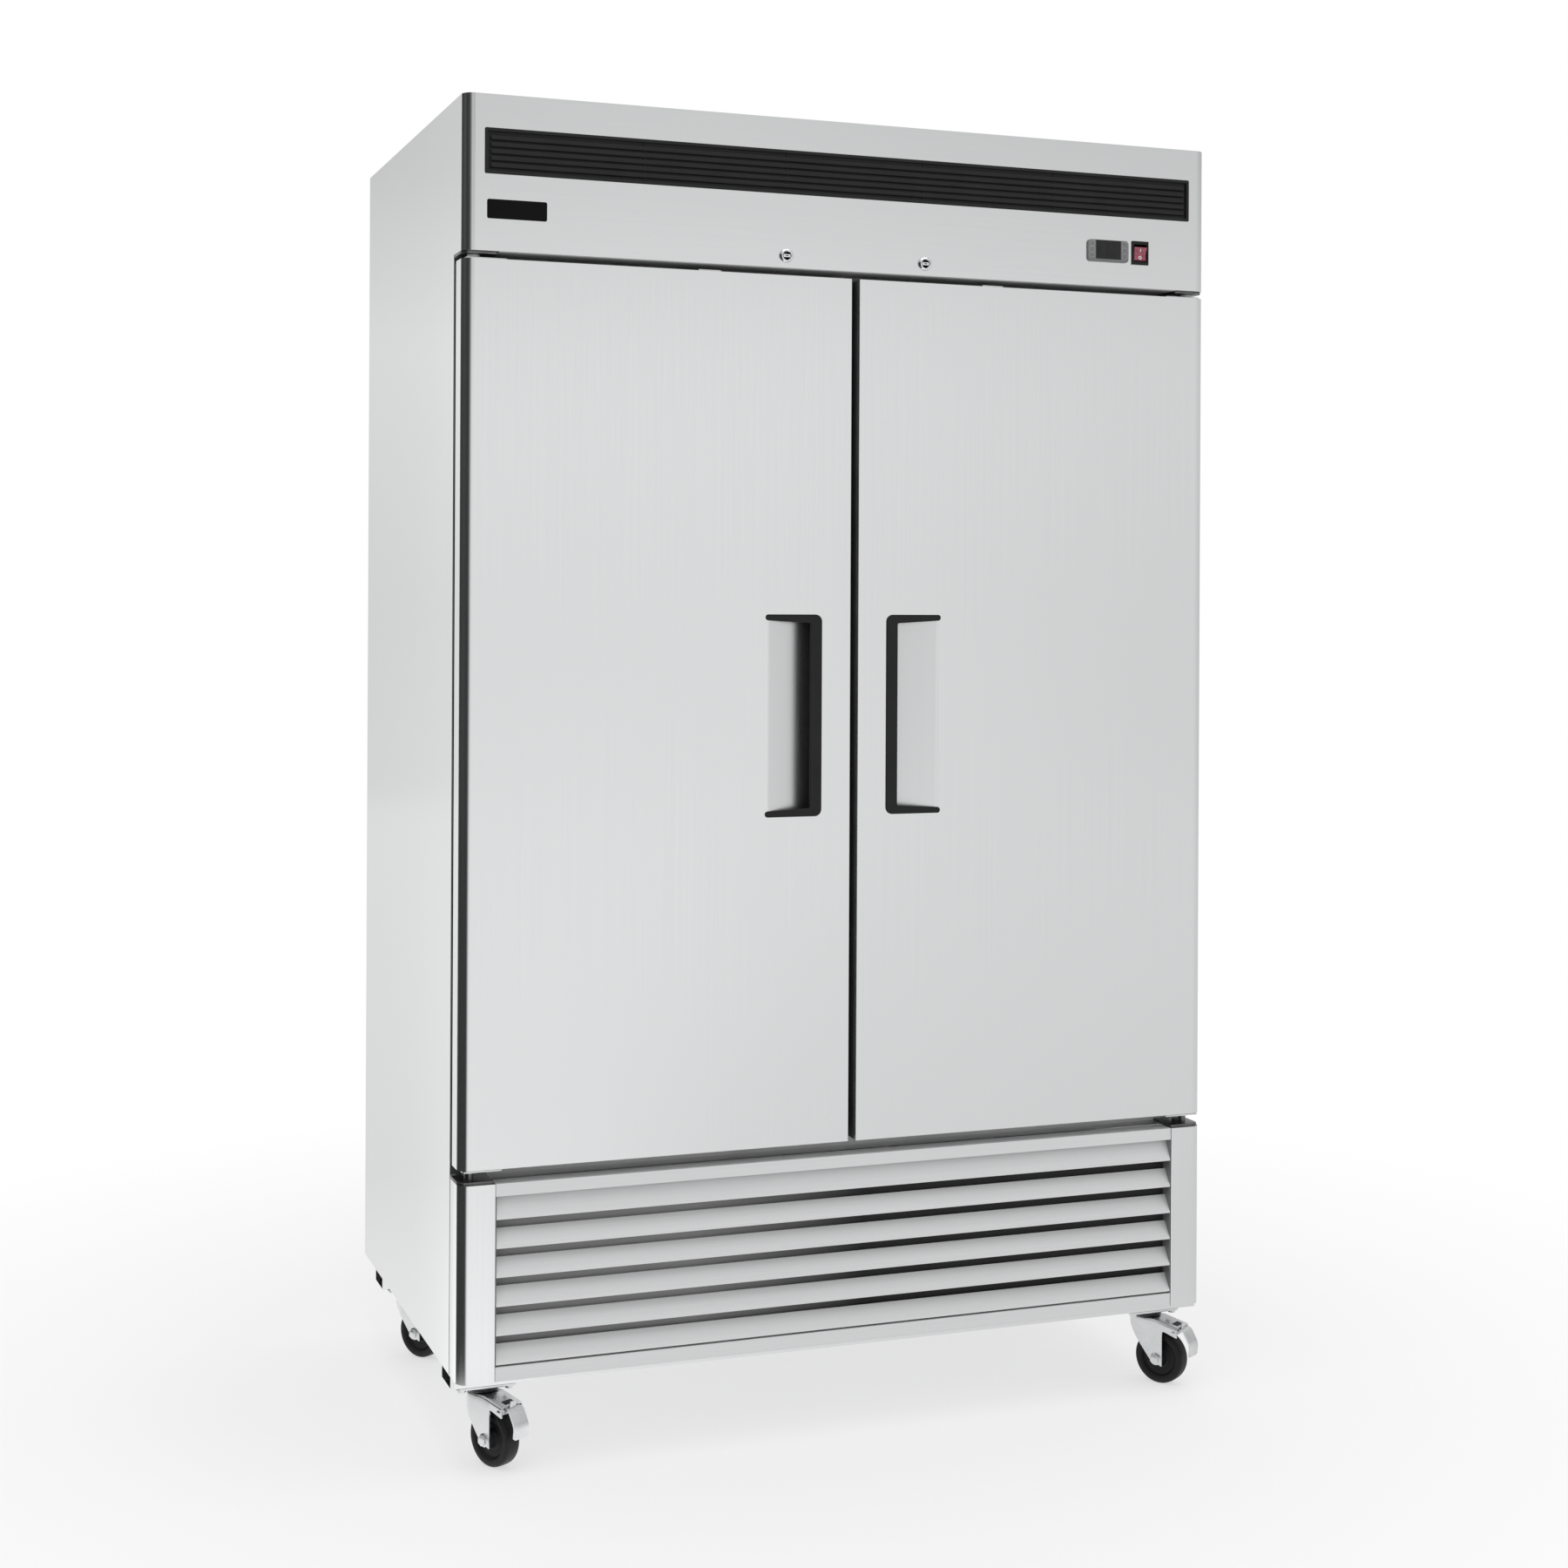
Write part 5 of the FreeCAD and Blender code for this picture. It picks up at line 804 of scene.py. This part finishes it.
def powerRocker():
    r = rockerLook
    front, tip, tilt = r["front"], r["tip"], math.radians(r["tilt"])
    along = np.array((0.0, math.cos(tilt), math.sin(tilt)))
    up = np.array((0.0, -math.sin(tilt), math.cos(tilt)))
    pivot = np.array((r["x"], r["y"], r["z"]))
    outline = roundCorners([(-front, -tip), (r["valley"] - front, 0), (-front, tip), (0, tip), (r["back"], 0),
                            (0, -tip)], r["bends"], 8)
    body = [plate(outline, (pivot, along, up, np.array((1.0, 0.0, 0.0))), -r["half"], r["half"], 0.0009)]
    rise = math.atan2(r["valley"], tip)
    ring = circleOf(24)
    marks = []
    for m in (-1, 1):
        spot = pivot + along * (0.47 * r["valley"] - front) + up * m * tip * 0.53
        facet = frameAt(spot, (1, 0, 0), math.cos(rise) * up - m * math.sin(rise) * along)
        if m > 0:
            marks.append(plate(centredBox(0.0006, 0.0027, 0.0005), facet, -0.0006, 0.0002, 0.0001, 2))
        else:
            marks.append(openPlate(ring * 0.0029, ring * 0.0018, facet, -0.0006, 0.0002, 0.0001))
    return body, marks


body, marks = powerRocker()
addPiece("power_rocker_cap", body, "red", "rocker", ("power_rocker",))
addPiece("power_rocker_marks", marks, "wire", "rocker")


# Cam locks: a domed chrome collar, and a plug whose face is a surface between its rim and the keyway
lockLook = {"x": 0.1218, "z": 1.914, "front": -0.396, "flange": 0.0115, "plug": 0.0064,
            "bore": ((0.0068, -0.0236), (0.0068, 0.0052), (0.0073, 0.0058)),
            "barrel": ((0.0088, -0.0004), (0.0088, -0.0236)),
            "camRadii": (0.005, 0.0052, 0.0052, 0.005)}
collars = []
for side, m in bothSides:
    k = lockLook
    face = facing(m * k["x"], k["front"], k["z"])
    dome = [(k["flange"] - 0.0033 * (1 - np.cos(a)), 0.0012 + 0.0048 * np.sin(a)) for a in np.linspace(0, 1.5, 7)]
    collars.append(revolve([*k["bore"], *dome[::-1], (k["flange"], 0.0), *k["barrel"]], face, 48, True))
    keyway = centredBox(0.0022, 0.0007, 0.0006, 8)
    circle = keyway / np.linalg.norm(keyway, axis=1, keepdims=True)
    rings = [lay(face, circle * radius, height) for radius, height in
             ((k["plug"], -0.0262), (k["plug"], 0.0046), (0.0061, 0.0051), (0.0050, 0.0053))]
    rings += [lay(face, keyway * f, height) for f, height in ((1.2, 0.0053), (1.0, 0.0051), (0.98, -0.0060))]
    cam = frameAt((m * k["x"], k["front"], k["z"]), (m, 0, 0), (0, 0, m))
    bar = roundCorners([(-0.006, -0.0055), (0.040, -0.0055), (0.040, 0.0055), (-0.006, 0.0055)], k["camRadii"], 8)
    addPiece(f"lock_plug_{side}_key", [loft(rings), plate(bar * (1, m), cam, -0.0275, -0.0245, 0.0005)], "chrome",
             f"{side}_lock", (f"lock_plug_{side}",))
addPiece("lock_collars", collars, "chrome", "cabinet", ("lock_barrels",))


# Bare black plate on the header
plateLook = {"box": (-0.613, 1.945, -0.518, 1.975), "radius": 0.003, "front": -0.396, "thick": 0.0012}
p = plateLook
addPiece("header_plate", [plate(roundBox(*p["box"], p["radius"]), facing(y=p["front"]), -0.0002, p["thick"], 0.0006)],
         "gloss", "cabinet")
print("grille, louvre, posts, controller, rocker and locks made")


# Breaker strips: thin profiles under the header, round the face frame and on the door edges; those at the hinges and on
# the door edges are black, painted shade for the gaps
stripLook = {"under": 1.895, "thick": 0.0008, "reach": 0.5925, "front": -0.3945, "back": -0.3308, "face": -0.330,
             "lockX": 0.1218, "slot": 0.013, "slotRuns": (-0.3745, -0.3655), "side": (0.6285, 0.6497),
             "doorEdge": (0.006, 0.3428, 0.4795, 0.3915, 1.8815), "hingeEdge": (0.6488, 0.3396, 0.4800, 0.3322, 1.8810)}
s = stripLook


def thinStrip(box, frame, low=0.0, high=s["thick"], radius=0.0004, ease=0.0002):
    return plate(roundBox(*box, radius, 3), frame, low, high, ease, 2)


bed, wall = lying(), facing(y=s["face"])
strips = [thinStrip((-0.0122, 0.480, 0.0122, 1.8768), wall), thinStrip((-s["reach"], 1.8770, s["reach"], 1.8940), wall)]
sill = [thinStrip((-s["reach"], 0.4562, s["reach"], 0.4794), wall)]
near, far = s["side"]
hingeSides = [thinStrip((m * near, 0.4600, m * far, 1.8900), wall, 0.0, 0.0004, 0.0002, 0.0001) for m in (-1, 1)]
edges = [-s["reach"], *(m * s["lockX"] + d * s["slot"] for m in (-1, 1) for d in (-1, 1)), s["reach"]]
for k, (x0, x1) in enumerate(zip(edges[:-1], edges[1:])):
    runs = ((s["front"], s["slotRuns"][0]), (s["slotRuns"][1], s["back"])) if k % 2 else ((s["front"], s["back"]),)
    for y0, y1 in runs:  # every other length is open for a cam
        strips.append(thinStrip((x0, y0, x1, y1), bed, s["under"] - s["thick"], s["under"], 0.0003))
addPiece("breaker_strips", strips, "strip", "cabinet")
# black strips on the hinge side: painted shade of the gap between door and cabinet
addPiece("breaker_side_strips", hingeSides, "trim", "cabinet")
addPiece("breaker_sill", sill, "white", "cabinet")
for side, m in bothSides:
    x, near, low, far, high = s["doorEdge"]
    gap = frameAt((m * x, 0, 0), (0, -m, 0), (0, 0, 1))  # height runs into the gap between the doors
    edge = roundCorners([(m * near, low), (m * far, low), (m * far, high), (m * near, high)], [0.002] * 4)
    x, near, low, far, high = s["hingeEdge"]
    rear = frameAt((m * x, 0, 0), (0, m, 0), (0, 0, 1))  # height runs out of the hinge side
    strip = roundBox(-m * near, low, -m * far, high, 0.001, 4)
    # black trim on the door edges: painted shade of the gaps between the doors and at the hinges
    addPiece(f"door_edge_{side}_trim",
             [plate(edge, gap, -0.0002, 0.0006, 0.0003), plate(strip, rear, -0.0002, 0.0009, 0.0003)],
             "trim", f"{side}_door")


# Hinges: a bracket with the corner of the posts, a turned pin, a washer, and a plate under each door round the pin
hingeLook = {"x": 0.628, "y": -0.368, "thick": 0.004, "pin": 0.006, "plan": (0.594, -0.389, 0.6496, -0.330),
             "planRadii": (0.003, 0.0125, 0.001, 0.001), "bore": 0.0066, "under": (0.581, -0.3935, 0.6436, -0.3440),
             # height of the bracket, way to the door, end of the pin, start and end of the washer
             "seats": ((0.455, 1, 0.041, 0.0150, 0.0196), (1.895, -1, 0.030, 0.0040, 0.0086))}
h = hingeLook
pin, bore = h["pin"], h["bore"]
brackets, washers = [], []
for m in (-1, 1):
    x0, y0, x1, y1 = h["plan"]
    plan = roundCorners([(m * x0, y0), (m * x1, y0), (m * x1, y1), (m * x0, y1)], h["planRadii"], 8)
    for z, up, top, first, last in h["seats"]:
        seat = frameAt((m * h["x"], h["y"], z), (1, 0, 0), (0, up, 0))  # height runs towards the door
        brackets.append(plate((plan - (m * h["x"], h["y"])) * (1, up), seat, 0.0, h["thick"], 0.0007))
        brackets.append(revolve([(0.0004, 0.003), (pin, 0.003), (pin, top - 0.001), (pin - 0.001, top), (0.0004, top)],
                                seat, 24))
        washers.append(revolve([(pin + 0.0002, first), (0.0092, first), (0.0098, first + 0.0006),
                                (0.0098, last - 0.0006), (0.0092, last), (pin + 0.0002, last)], seat, 28, True))
addPiece("hinge_bracket_plates", brackets, "darkZinc", "cabinet", ("hinge_brackets",))
addPiece("hinge_washers", washers, "wire", "cabinet")
for side, m in bothSides:
    x0, y0, x1, y1 = h["under"]
    outer = roundBox(m * x0, y0, m * x1, y1, 0.0025, 8)
    inner = roundBox(m * h["x"] - bore, h["y"] - bore, m * h["x"] + bore, h["y"] + bore, bore * 0.999, 8)
    addPiece(f"hinge_plate_{side}", [openPlate(outer, inner, bed, 0.4748, 0.4771, 0.0004)], "pressed", f"{side}_door")


# Base: a pan with a turned-down front edge and two castor channels, each one bent line drawn across the cabinet
baseLook = {"half": 0.650, "front": -0.376, "rear": 0.3946, "top": 0.149, "edge": 0.1385, "under": 0.127,
            "sheet": 0.002, "channels": (-0.344, 0.222), "wide": 0.066}
b = baseLook
lines = [bendLine([(b["front"], b["edge"]), (b["front"], b["top"]), (b["rear"], b["top"])], [0.0025])]
for near in b["channels"]:
    far, high = near + b["wide"], b["top"] - b["sheet"]
    lines.append(bendLine([(far, high), (far, b["under"]), (near, b["under"]), (near, high)], [0.003, 0.003]))
pan = [drawnAcross(line, b["half"], b["sheet"]) for line in lines]
addPiece("base_pan", pan, "steelAcross", "cabinet", ("base_frame",), 30)


# Door liners: a raised field with a soft rim and two shallow beads, pressed out of the inner face
linerLook = {"x": (0.064, 0.578), "z": (0.552, 1.808), "back": -0.332, "rise": 0.0075, "rim": 0.0065, "beadIn": 0.06,
             "beadAt": 0.10, "bead": 0.012}
for side, m in bothSides:
    d = linerLook
    face = frameAt((0, d["back"], 0), (-1, 0, 0), (0, 0, 1))  # height runs into the cabinet
    (near, far), (low, high), rise = d["x"], d["z"], d["rise"]
    parts = [plate(roundBox(-m * near, low, -m * far, high, 0.030, 10), face, -0.0004, rise, d["rim"], 7)]
    for z in (low + d["beadAt"], high - d["beadAt"]):
        bead = roundBox(-m * (near + d["beadIn"]), z - d["bead"], -m * (far - d["beadIn"]), z + d["bead"], 0.0118, 8)
        parts.append(plate(bead, face, rise - 0.001, rise + 0.0022, 0.0030, 6))
    addPiece(f"door_liner_{side}_field", parts, "white", f"{side}_door")
print("strips, hinges, base and door liners made")


# Pan head: a low dome whose radius follows the cosine while its height follows the sine, with a cross raised on it
def panHead(x, z, frame, head, tall):
    origin, across, up, out = frame
    seat = (origin + x * across + z * up, across, up, out)
    dome = [(head * np.cos(a), tall * np.sin(a)) for a in np.linspace(0.25, 1.45, 5)]
    parts = [revolve([(0.0004, -0.0004), (head, -0.0004)] + dome, seat, 16)]
    for wide, high in ((0.50, 0.10), (0.10, 0.50)):
        arm = centredBox(wide * head, high * head, head * 0.05, 2)
        parts.append(plate(arm, seat, 0.0, tall * 1.08, head * 0.02, 2))
    return parts


# Rear sheets: a plain upper one, a lower one open at two vents, and hoods that are bent lines drawn across each vent
rearLook = {"face": 0.3952, "half": 0.632, "low": 0.1492, "split": 0.4705, "high": 2.1368, "sheet": 0.0003,
            "seam": 0.0008, "vent": (0.065, 0.425, 0.222, 0.402), "hoods": 6, "pitch": 0.0296, "hood": 0.019,
            "head": 0.0048, "tall": 0.0006, "screwX": 0.616, "screwIn": (0.018, 0.014, 0.015, 0.016),
            "perSide": (3, 8), "across": 6}
r = rearLook
back = frameAt((0, r["face"], 0), (-1, 0, 0), (0, 0, 1))  # height runs out of the back
sheets = [plate(roundBox(-r["half"], r["split"] + r["seam"], r["half"], r["high"], 0.0006, 3),
                back, -r["sheet"], 0.0, 0.0001, 2)]
near, far, floor, ceiling = r["vent"]
for m in (-1, 1):
    outer = roundBox(0.0, r["low"], m * r["half"], r["split"], 0.0006, 8)
    sheets.append(openPlate(outer, roundBox(m * near, floor, m * far, ceiling, 0.004, 8),
                            back, -r["sheet"], 0.0, 0.0001))
    v0, v1 = sorted((m * near, m * far))
    for k in range(r["hoods"]):
        top, out = ceiling - k * r["pitch"], r["face"] + 0.0004
        line = bendLine([(r["face"] - 0.0090, top + 0.002), (out, top - 0.0070), (out, top - r["hood"])], [0.008], 8)
        sheets.append(drawn(line, np.array([v1 + 0.001, v0 - 0.001]), 0.0009))
addPiece("rear_sheets", sheets, "galvanised", "cabinet", ("rear_panel",), 12)
rows = [end + by for end, by in zip((r["low"], r["split"], r["split"], r["high"]),
                                    np.multiply(r["screwIn"], (1, -1, 1, -1)))]
upright = np.concatenate([np.linspace(rows[0], rows[1], r["perSide"][0]),
                          np.linspace(rows[2], rows[3], r["perSide"][1])])
spots = [(x, z) for x in (-r["screwX"], r["screwX"]) for z in upright]
spots += [(x, z) for x in np.linspace(-r["screwX"], r["screwX"], r["across"])[1:-1] for z in rows]
screws = [part for x, z in spots for part in panHead(x, z, back, r["head"], r["tall"])]
addPiece("rear_screws", screws, "zinc", "cabinet")
print("rear sheets made")


# Magnetic gasket: a foot, a folded bellows and the magnet pocket, as one closed profile round the door
gasketLook = {"width": 0.016, "half": ((0.0, 0.0), (0.0, 0.16), (0.10, 0.22), (0.22, 0.30), (0.06, 0.42), (0.04, 0.50),
                                       (0.20, 0.60), (0.06, 0.74), (0.05, 0.90), (0.16, 1.0))}
for side, m in bothSides:
    low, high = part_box(f"door_gasket_{side}")
    w, depth, half = gasketLook["width"], high[1] - low[1], gasketLook["half"]
    rise = [(a * w, low[1] + f * depth) for a, f in half]
    profile = rise + [((1 - a) * w, low[1] + f * depth) for a, f in half[::-1]]
    addPiece(f"door_gasket_{side}_bellows", [rectangleRings(low[0], low[2], high[0], high[2], profile)], "gasket",
             f"{side}_door", (f"door_gasket_{side}",), 60)


# Fan guards in front of the evaporator fans: wire rings with crossed spokes and four feet
guardLook = {"x": 0.225, "z": 1.978, "y": -0.2560, "rings": (0.088, 0.074, 0.060, 0.046, 0.032, 0.018), "wire": 0.0011,
             "steps": 56, "reach": 0.094, "angles": (0.785, 2.356, 3.927, 5.498),
             "foot": ((0.0004, -0.0020), (0.0048, -0.0020), (0.0048, 0.0002), (0.0036, 0.0014), (0.0004, 0.0016))}
guards = []
for m in (-1, 1):
    g = guardLook
    centre = np.array((m * g["x"], g["y"], g["z"]))
    ring = np.insert(circleOf(g["steps"]), 1, 0.0, axis=1)
    for radius in g["rings"]:
        guards.append(wire(centre + ring * radius, g["wire"], 6, True))
    rays = [np.array((math.cos(angle), 0.0, math.sin(angle))) for angle in g["angles"]]
    for ray in rays[:2]:
        spoke = np.linspace(-g["reach"], g["reach"], 9)[:, None] * ray
        guards.append(wire(centre + (0, 0.0018, 0) + spoke, g["wire"], 6))
    guards += [revolve(g["foot"], facing(*(centre + g["reach"] * ray)), 14) for ray in rays]
addPiece("evaporator_fan_guards", guards, "wire", "cabinet")


# Evaporator coil: thin fins across the block and copper return bends at both ends
low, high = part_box("evaporator_coil")
coilLook = {"fins": 190, "thick": 0.0004, "rows": 4, "tiers": 4, "tube": 0.0048, "finIn": (0.022, 0.0224),
            "tubeIn": 0.018, "loopIn": 0.019}
c = coilLook
edge = np.array([(low[1], low[2]), (high[1], low[2]), (high[1], high[2]), (low[1], high[2])])
fins = [loft([[(x + t, y, z) for y, z in edge] for t in (0.0, c["thick"])])
        for x in np.linspace(low[0] + c["finIn"][0], high[0] - c["finIn"][1], c["fins"])]
addPiece("evaporator_coil_fins", fins, "aluminium", "cabinet", ("evaporator_coil",))
bends = []
rise = (high[2] - low[2]) / c["tiers"] / 2
arc = np.linspace(-np.pi / 2, np.pi / 2, 9)
for row in range(c["rows"]):
    y = low[1] + (row + 0.5) / c["rows"] * (high[1] - low[1])
    for tier in range(c["tiers"]):
        z = low[2] + (tier + 0.5) / c["tiers"] * (high[2] - low[2])
        bends.append(wire([(low[0] + c["tubeIn"], y, z), (0, y, z), (high[0] - c["tubeIn"], y, z)], c["tube"], 8))
        if tier % 2 == 0:
            for end, m in ((low[0] + c["loopIn"], -1), (high[0] - c["loopIn"], 1)):
                loop = [(end + m * rise * np.cos(a), y, z + rise + rise * np.sin(a)) for a in arc]
                bends.append(wire(loop, c["tube"], 8))
addPiece("evaporator_coil_tubes", bends, "copper", "cabinet")
print("gaskets, guards and coil made")


# Stage: a white sweep, a studio that is bright in front and darker to the left, and soft lamps overhead
studio = {
    "floorHalf": 12.0, "floorTone": 0.90, "clear": (0.58, 1.0, 0.95, 2.2), "fill": 0.84,
    "lamps": (  # name, place, target, size and power
        ("lamp_over", (0.3, -1.0, 5.2), (0.2, -0.2, 0.0), (4.2, 4.2), 50.0),
        ("lamp_strip", (1.75, -2.85, 4.2), (0.25, -0.38, 0.3), (0.5, 1.6), 1.2),
    ),
    "bearings": (  # compass bearing in degrees, counted from +X towards +Y, and how bright the studio is there
        (-180, 0.05), (-134, 0.03), (-122, 0.12), (-113, 0.46), (-104, 0.82), (-94, 0.95), (-79, 0.95), (-70, 0.96),
        (-66, 0.91), (-62, 0.85), (-55, 0.82), (-20, 0.74), (20, 0.70), (60, 0.74), (85, 0.74), (101, 0.74),
        (105, 1.10), (112, 1.05), (117, 0.10), (125, 0.05), (140, 0.04), (180, 0.05),
    ),
    "upperBearings": (  # higher up, as the header sees it
        (-180, 0.10), (-163, 0.04), (-138, 0.04), (-126, 0.14), (-118, 0.24), (-111, 0.60), (-104, 0.80), (-84, 0.62),
        (-79, 0.95), (-70, 0.97), (-66, 0.92), (-62, 0.90), (-55, 0.88), (-20, 0.74), (20, 0.70), (60, 0.74),
        (85, 0.76), (101, 0.78), (105, 1.10), (116, 1.10), (121, 0.10), (140, 0.05), (165, 0.08), (180, 0.10),
    ),
    "floorBearings": (  # the same for what the metal sees of the floor, counted about the front left corner
        (-180, 0.03), (-127, 0.03), (-119, 0.30), (-110, 0.80), (-100, 0.93), (-79, 0.95), (-70, 0.93), (-66, 0.90),
        (-62, 0.85), (-55, 0.82), (-20, 0.74), (20, 0.72), (85, 0.80), (101, 0.80), (105, 1.05), (112, 1.05),
        (118, 0.10), (140, 0.03), (180, 0.03),
    ),
    "corner": (-0.64, -0.39, 0.0), "nearBoost": (1.18, 1.0, 0.5, 2.0), "under": (1.0, 0.0, 0.40, 0.48),
    "underTone": (0.85, 0.85, 0.85, 1.0), "upper": (0.0, 1.0, 0.13, 0.16), "high": (0.0, 1.0, 0.30, 0.55),
    "highTone": (0.82, 0.82, 0.82, 1.0), "white": (1.0, 1.0, 1.0, 1.0),
    "heights": ((-0.06, 0.94), (0.0, 0.92), (0.06, 0.96), (0.11, 1.0), (0.18, 0.76), (0.30, 0.72), (0.55, 0.90),
                (1.0, 0.95)),
}


# Brightness by compass bearing of a direction
def bearingOf(axes, stops):
    turn = spread(calculate("Math", "ARCTAN2", axes["Y"], axes["X"]), 0.0, 1.0, -math.pi, math.pi)
    return ramp(turn, [((angle + 180.0) / 360.0, (level,) * 3) for angle, level in stops])


def calculate(kind, operation, *values):
    node = addNode(values[0].id_data, kind)
    node.operation = operation
    fill(node, *values)
    return node.outputs["Vector" if operation == "SUBTRACT" else "Value"]


def mixShaders(factor, first, second):
    mixer = addNode(factor.id_data, "MixShader")
    fill(mixer, factor, first, second)
    return mixer.outputs["Shader"]


# Floor: clear white away from the object, matt close to it, and its own ramp by bearing for what the metal sees of it
def stageFloor():
    half = studio["floorHalf"]
    mesh = bpy.data.meshes.new("floor")
    mesh.from_pydata([(-half, -half, 0), (half, -half, 0), (half, half, 0), (-half, half, 0)], [], [(0, 1, 2, 3)])
    floor = enter("floor", mesh)
    finish, shader, coords = startFinish("floor_sweep")
    tree = finish.node_tree
    settle(shader, Base_Color=(studio["floorTone"],) * 3 + (1.0,), Roughness=0.9, Specular_IOR_Level=0.1)
    away = spread(calculate("VectorMath", "LENGTH", coords), *studio["clear"])
    matt = mixShaders(away, shader.outputs["BSDF"], addNode(tree, "Emission", Strength=1.0).outputs["Emission"])
    offset = calculate("VectorMath", "SUBTRACT", coords, studio["corner"])
    reach = calculate("VectorMath", "LENGTH", offset)
    around = bearingOf(splitAxes(offset), studio["floorBearings"])
    # painted reflection: for the metal the floor glows by bearing about the front left corner, flat grey close to it
    # and a little brighter near it
    under = blend(spread(reach, *studio["under"]), around, studio["underTone"])
    mirrored = addNode(tree, "Emission", Color=under, Strength=spread(reach, *studio["nearBoost"]))
    rays = addNode(tree, "LightPath").outputs
    seen = mixShaders(rays["Is Glossy Ray"], matt, mirrored.outputs["Emission"])
    settle(next(n for n in tree.nodes if n.type == "OUTPUT_MATERIAL"), Surface=seen)
    mesh.materials.append(finish)


# What the metal sees: brightness by bearing round the horizon, times a ramp by height above it
def studioWorld():
    world = bpy.data.worlds.new("studio")
    bpy.context.scene.world = world
    world.use_nodes = True
    tree = world.node_tree
    tree.nodes.clear()
    axes = splitAxes(tree.nodes.new("ShaderNodeTexCoord").outputs["Generated"])
    lower, upper = (bearingOf(axes, studio[key]) for key in ("bearings", "upperBearings"))
    around = blend(spread(axes["Z"], *studio["upper"]), lower, upper)
    lift = spread(axes["Z"], 0.0, 1.0, -1.0, 1.0)
    upward = ramp(lift, [((height + 1.0) / 2.0, (level,) * 3) for height, level in studio["heights"]])
    above = blend(spread(axes["Z"], *studio["high"]), around, studio["highTone"])
    seen = blend(1.0, above, upward, "MULTIPLY")
    looks = (studio["white"], 1.0), (seen, 1.0), (studio["white"], studio["fill"])
    plain, mirror, dim = (addNode(tree, "Background", Color=colour, Strength=strength).outputs["Background"]
                          for colour, strength in looks)
    rays = addNode(tree, "LightPath").outputs
    glossy = mixShaders(rays["Is Glossy Ray"], dim, mirror)
    seenThrough = calculate("Math", "MAXIMUM", rays["Is Camera Ray"], rays["Is Transmission Ray"])
    addNode(tree, "OutputWorld", Surface=mixShaders(seenThrough, glossy, plain))


def stand(holder, across, up, back, spot):
    columns = np.stack([across, up, back, np.array(spot)], axis=1)
    holder.matrix_world = Matrix([list(row) for row in columns] + [[0, 0, 0, 1]])


def stageLamps():
    for name, spot, target, size, power in studio["lamps"]:
        lamp = bpy.data.lights.new(name, "AREA")
        lamp.shape = "RECTANGLE"
        lamp.size, lamp.size_y = size
        lamp.energy = power
        away = np.array(spot) - np.array(target)
        away = away / np.linalg.norm(away)
        side = np.cross((0.0, 0.0, 1.0), away)
        side = side / np.linalg.norm(side)
        stand(enter(name, lamp), side, np.cross(away, side), away, spot)


lens = {"spot": (-1.4375, -3.948, 1.353), "yaw": 20.316, "roll": 0.27, "focal": 53.93, "sensor": 36.0, "shift": -0.1149,
        "far": 60.0}


# The camera stands level, turned by yaw to the right, with the small tilt of the picture as roll
def stageCamera():
    yaw, roll = math.radians(lens["yaw"]), math.radians(lens["roll"])
    right = np.array((math.cos(yaw), -math.sin(yaw), 0.0))
    back = np.array((-math.sin(yaw), -math.cos(yaw), 0.0))
    up = np.array((0.0, 0.0, 1.0))
    camera = bpy.data.cameras.new("camera")
    camera.lens = lens["focal"]
    camera.sensor_width = lens["sensor"]
    camera.shift_y = lens["shift"]
    camera.clip_end = lens["far"]
    holder = enter("camera", camera)
    cosine, sine = math.cos(roll), math.sin(roll)
    stand(holder, cosine * right + sine * up, cosine * up - sine * right, back, lens["spot"])
    bpy.context.scene.camera = holder


stageFloor()
studioWorld()
stageLamps()
stageCamera()
bpy.context.scene.view_settings.view_transform = "Standard"
print("stage set")

bpy.context.view_layer.update()
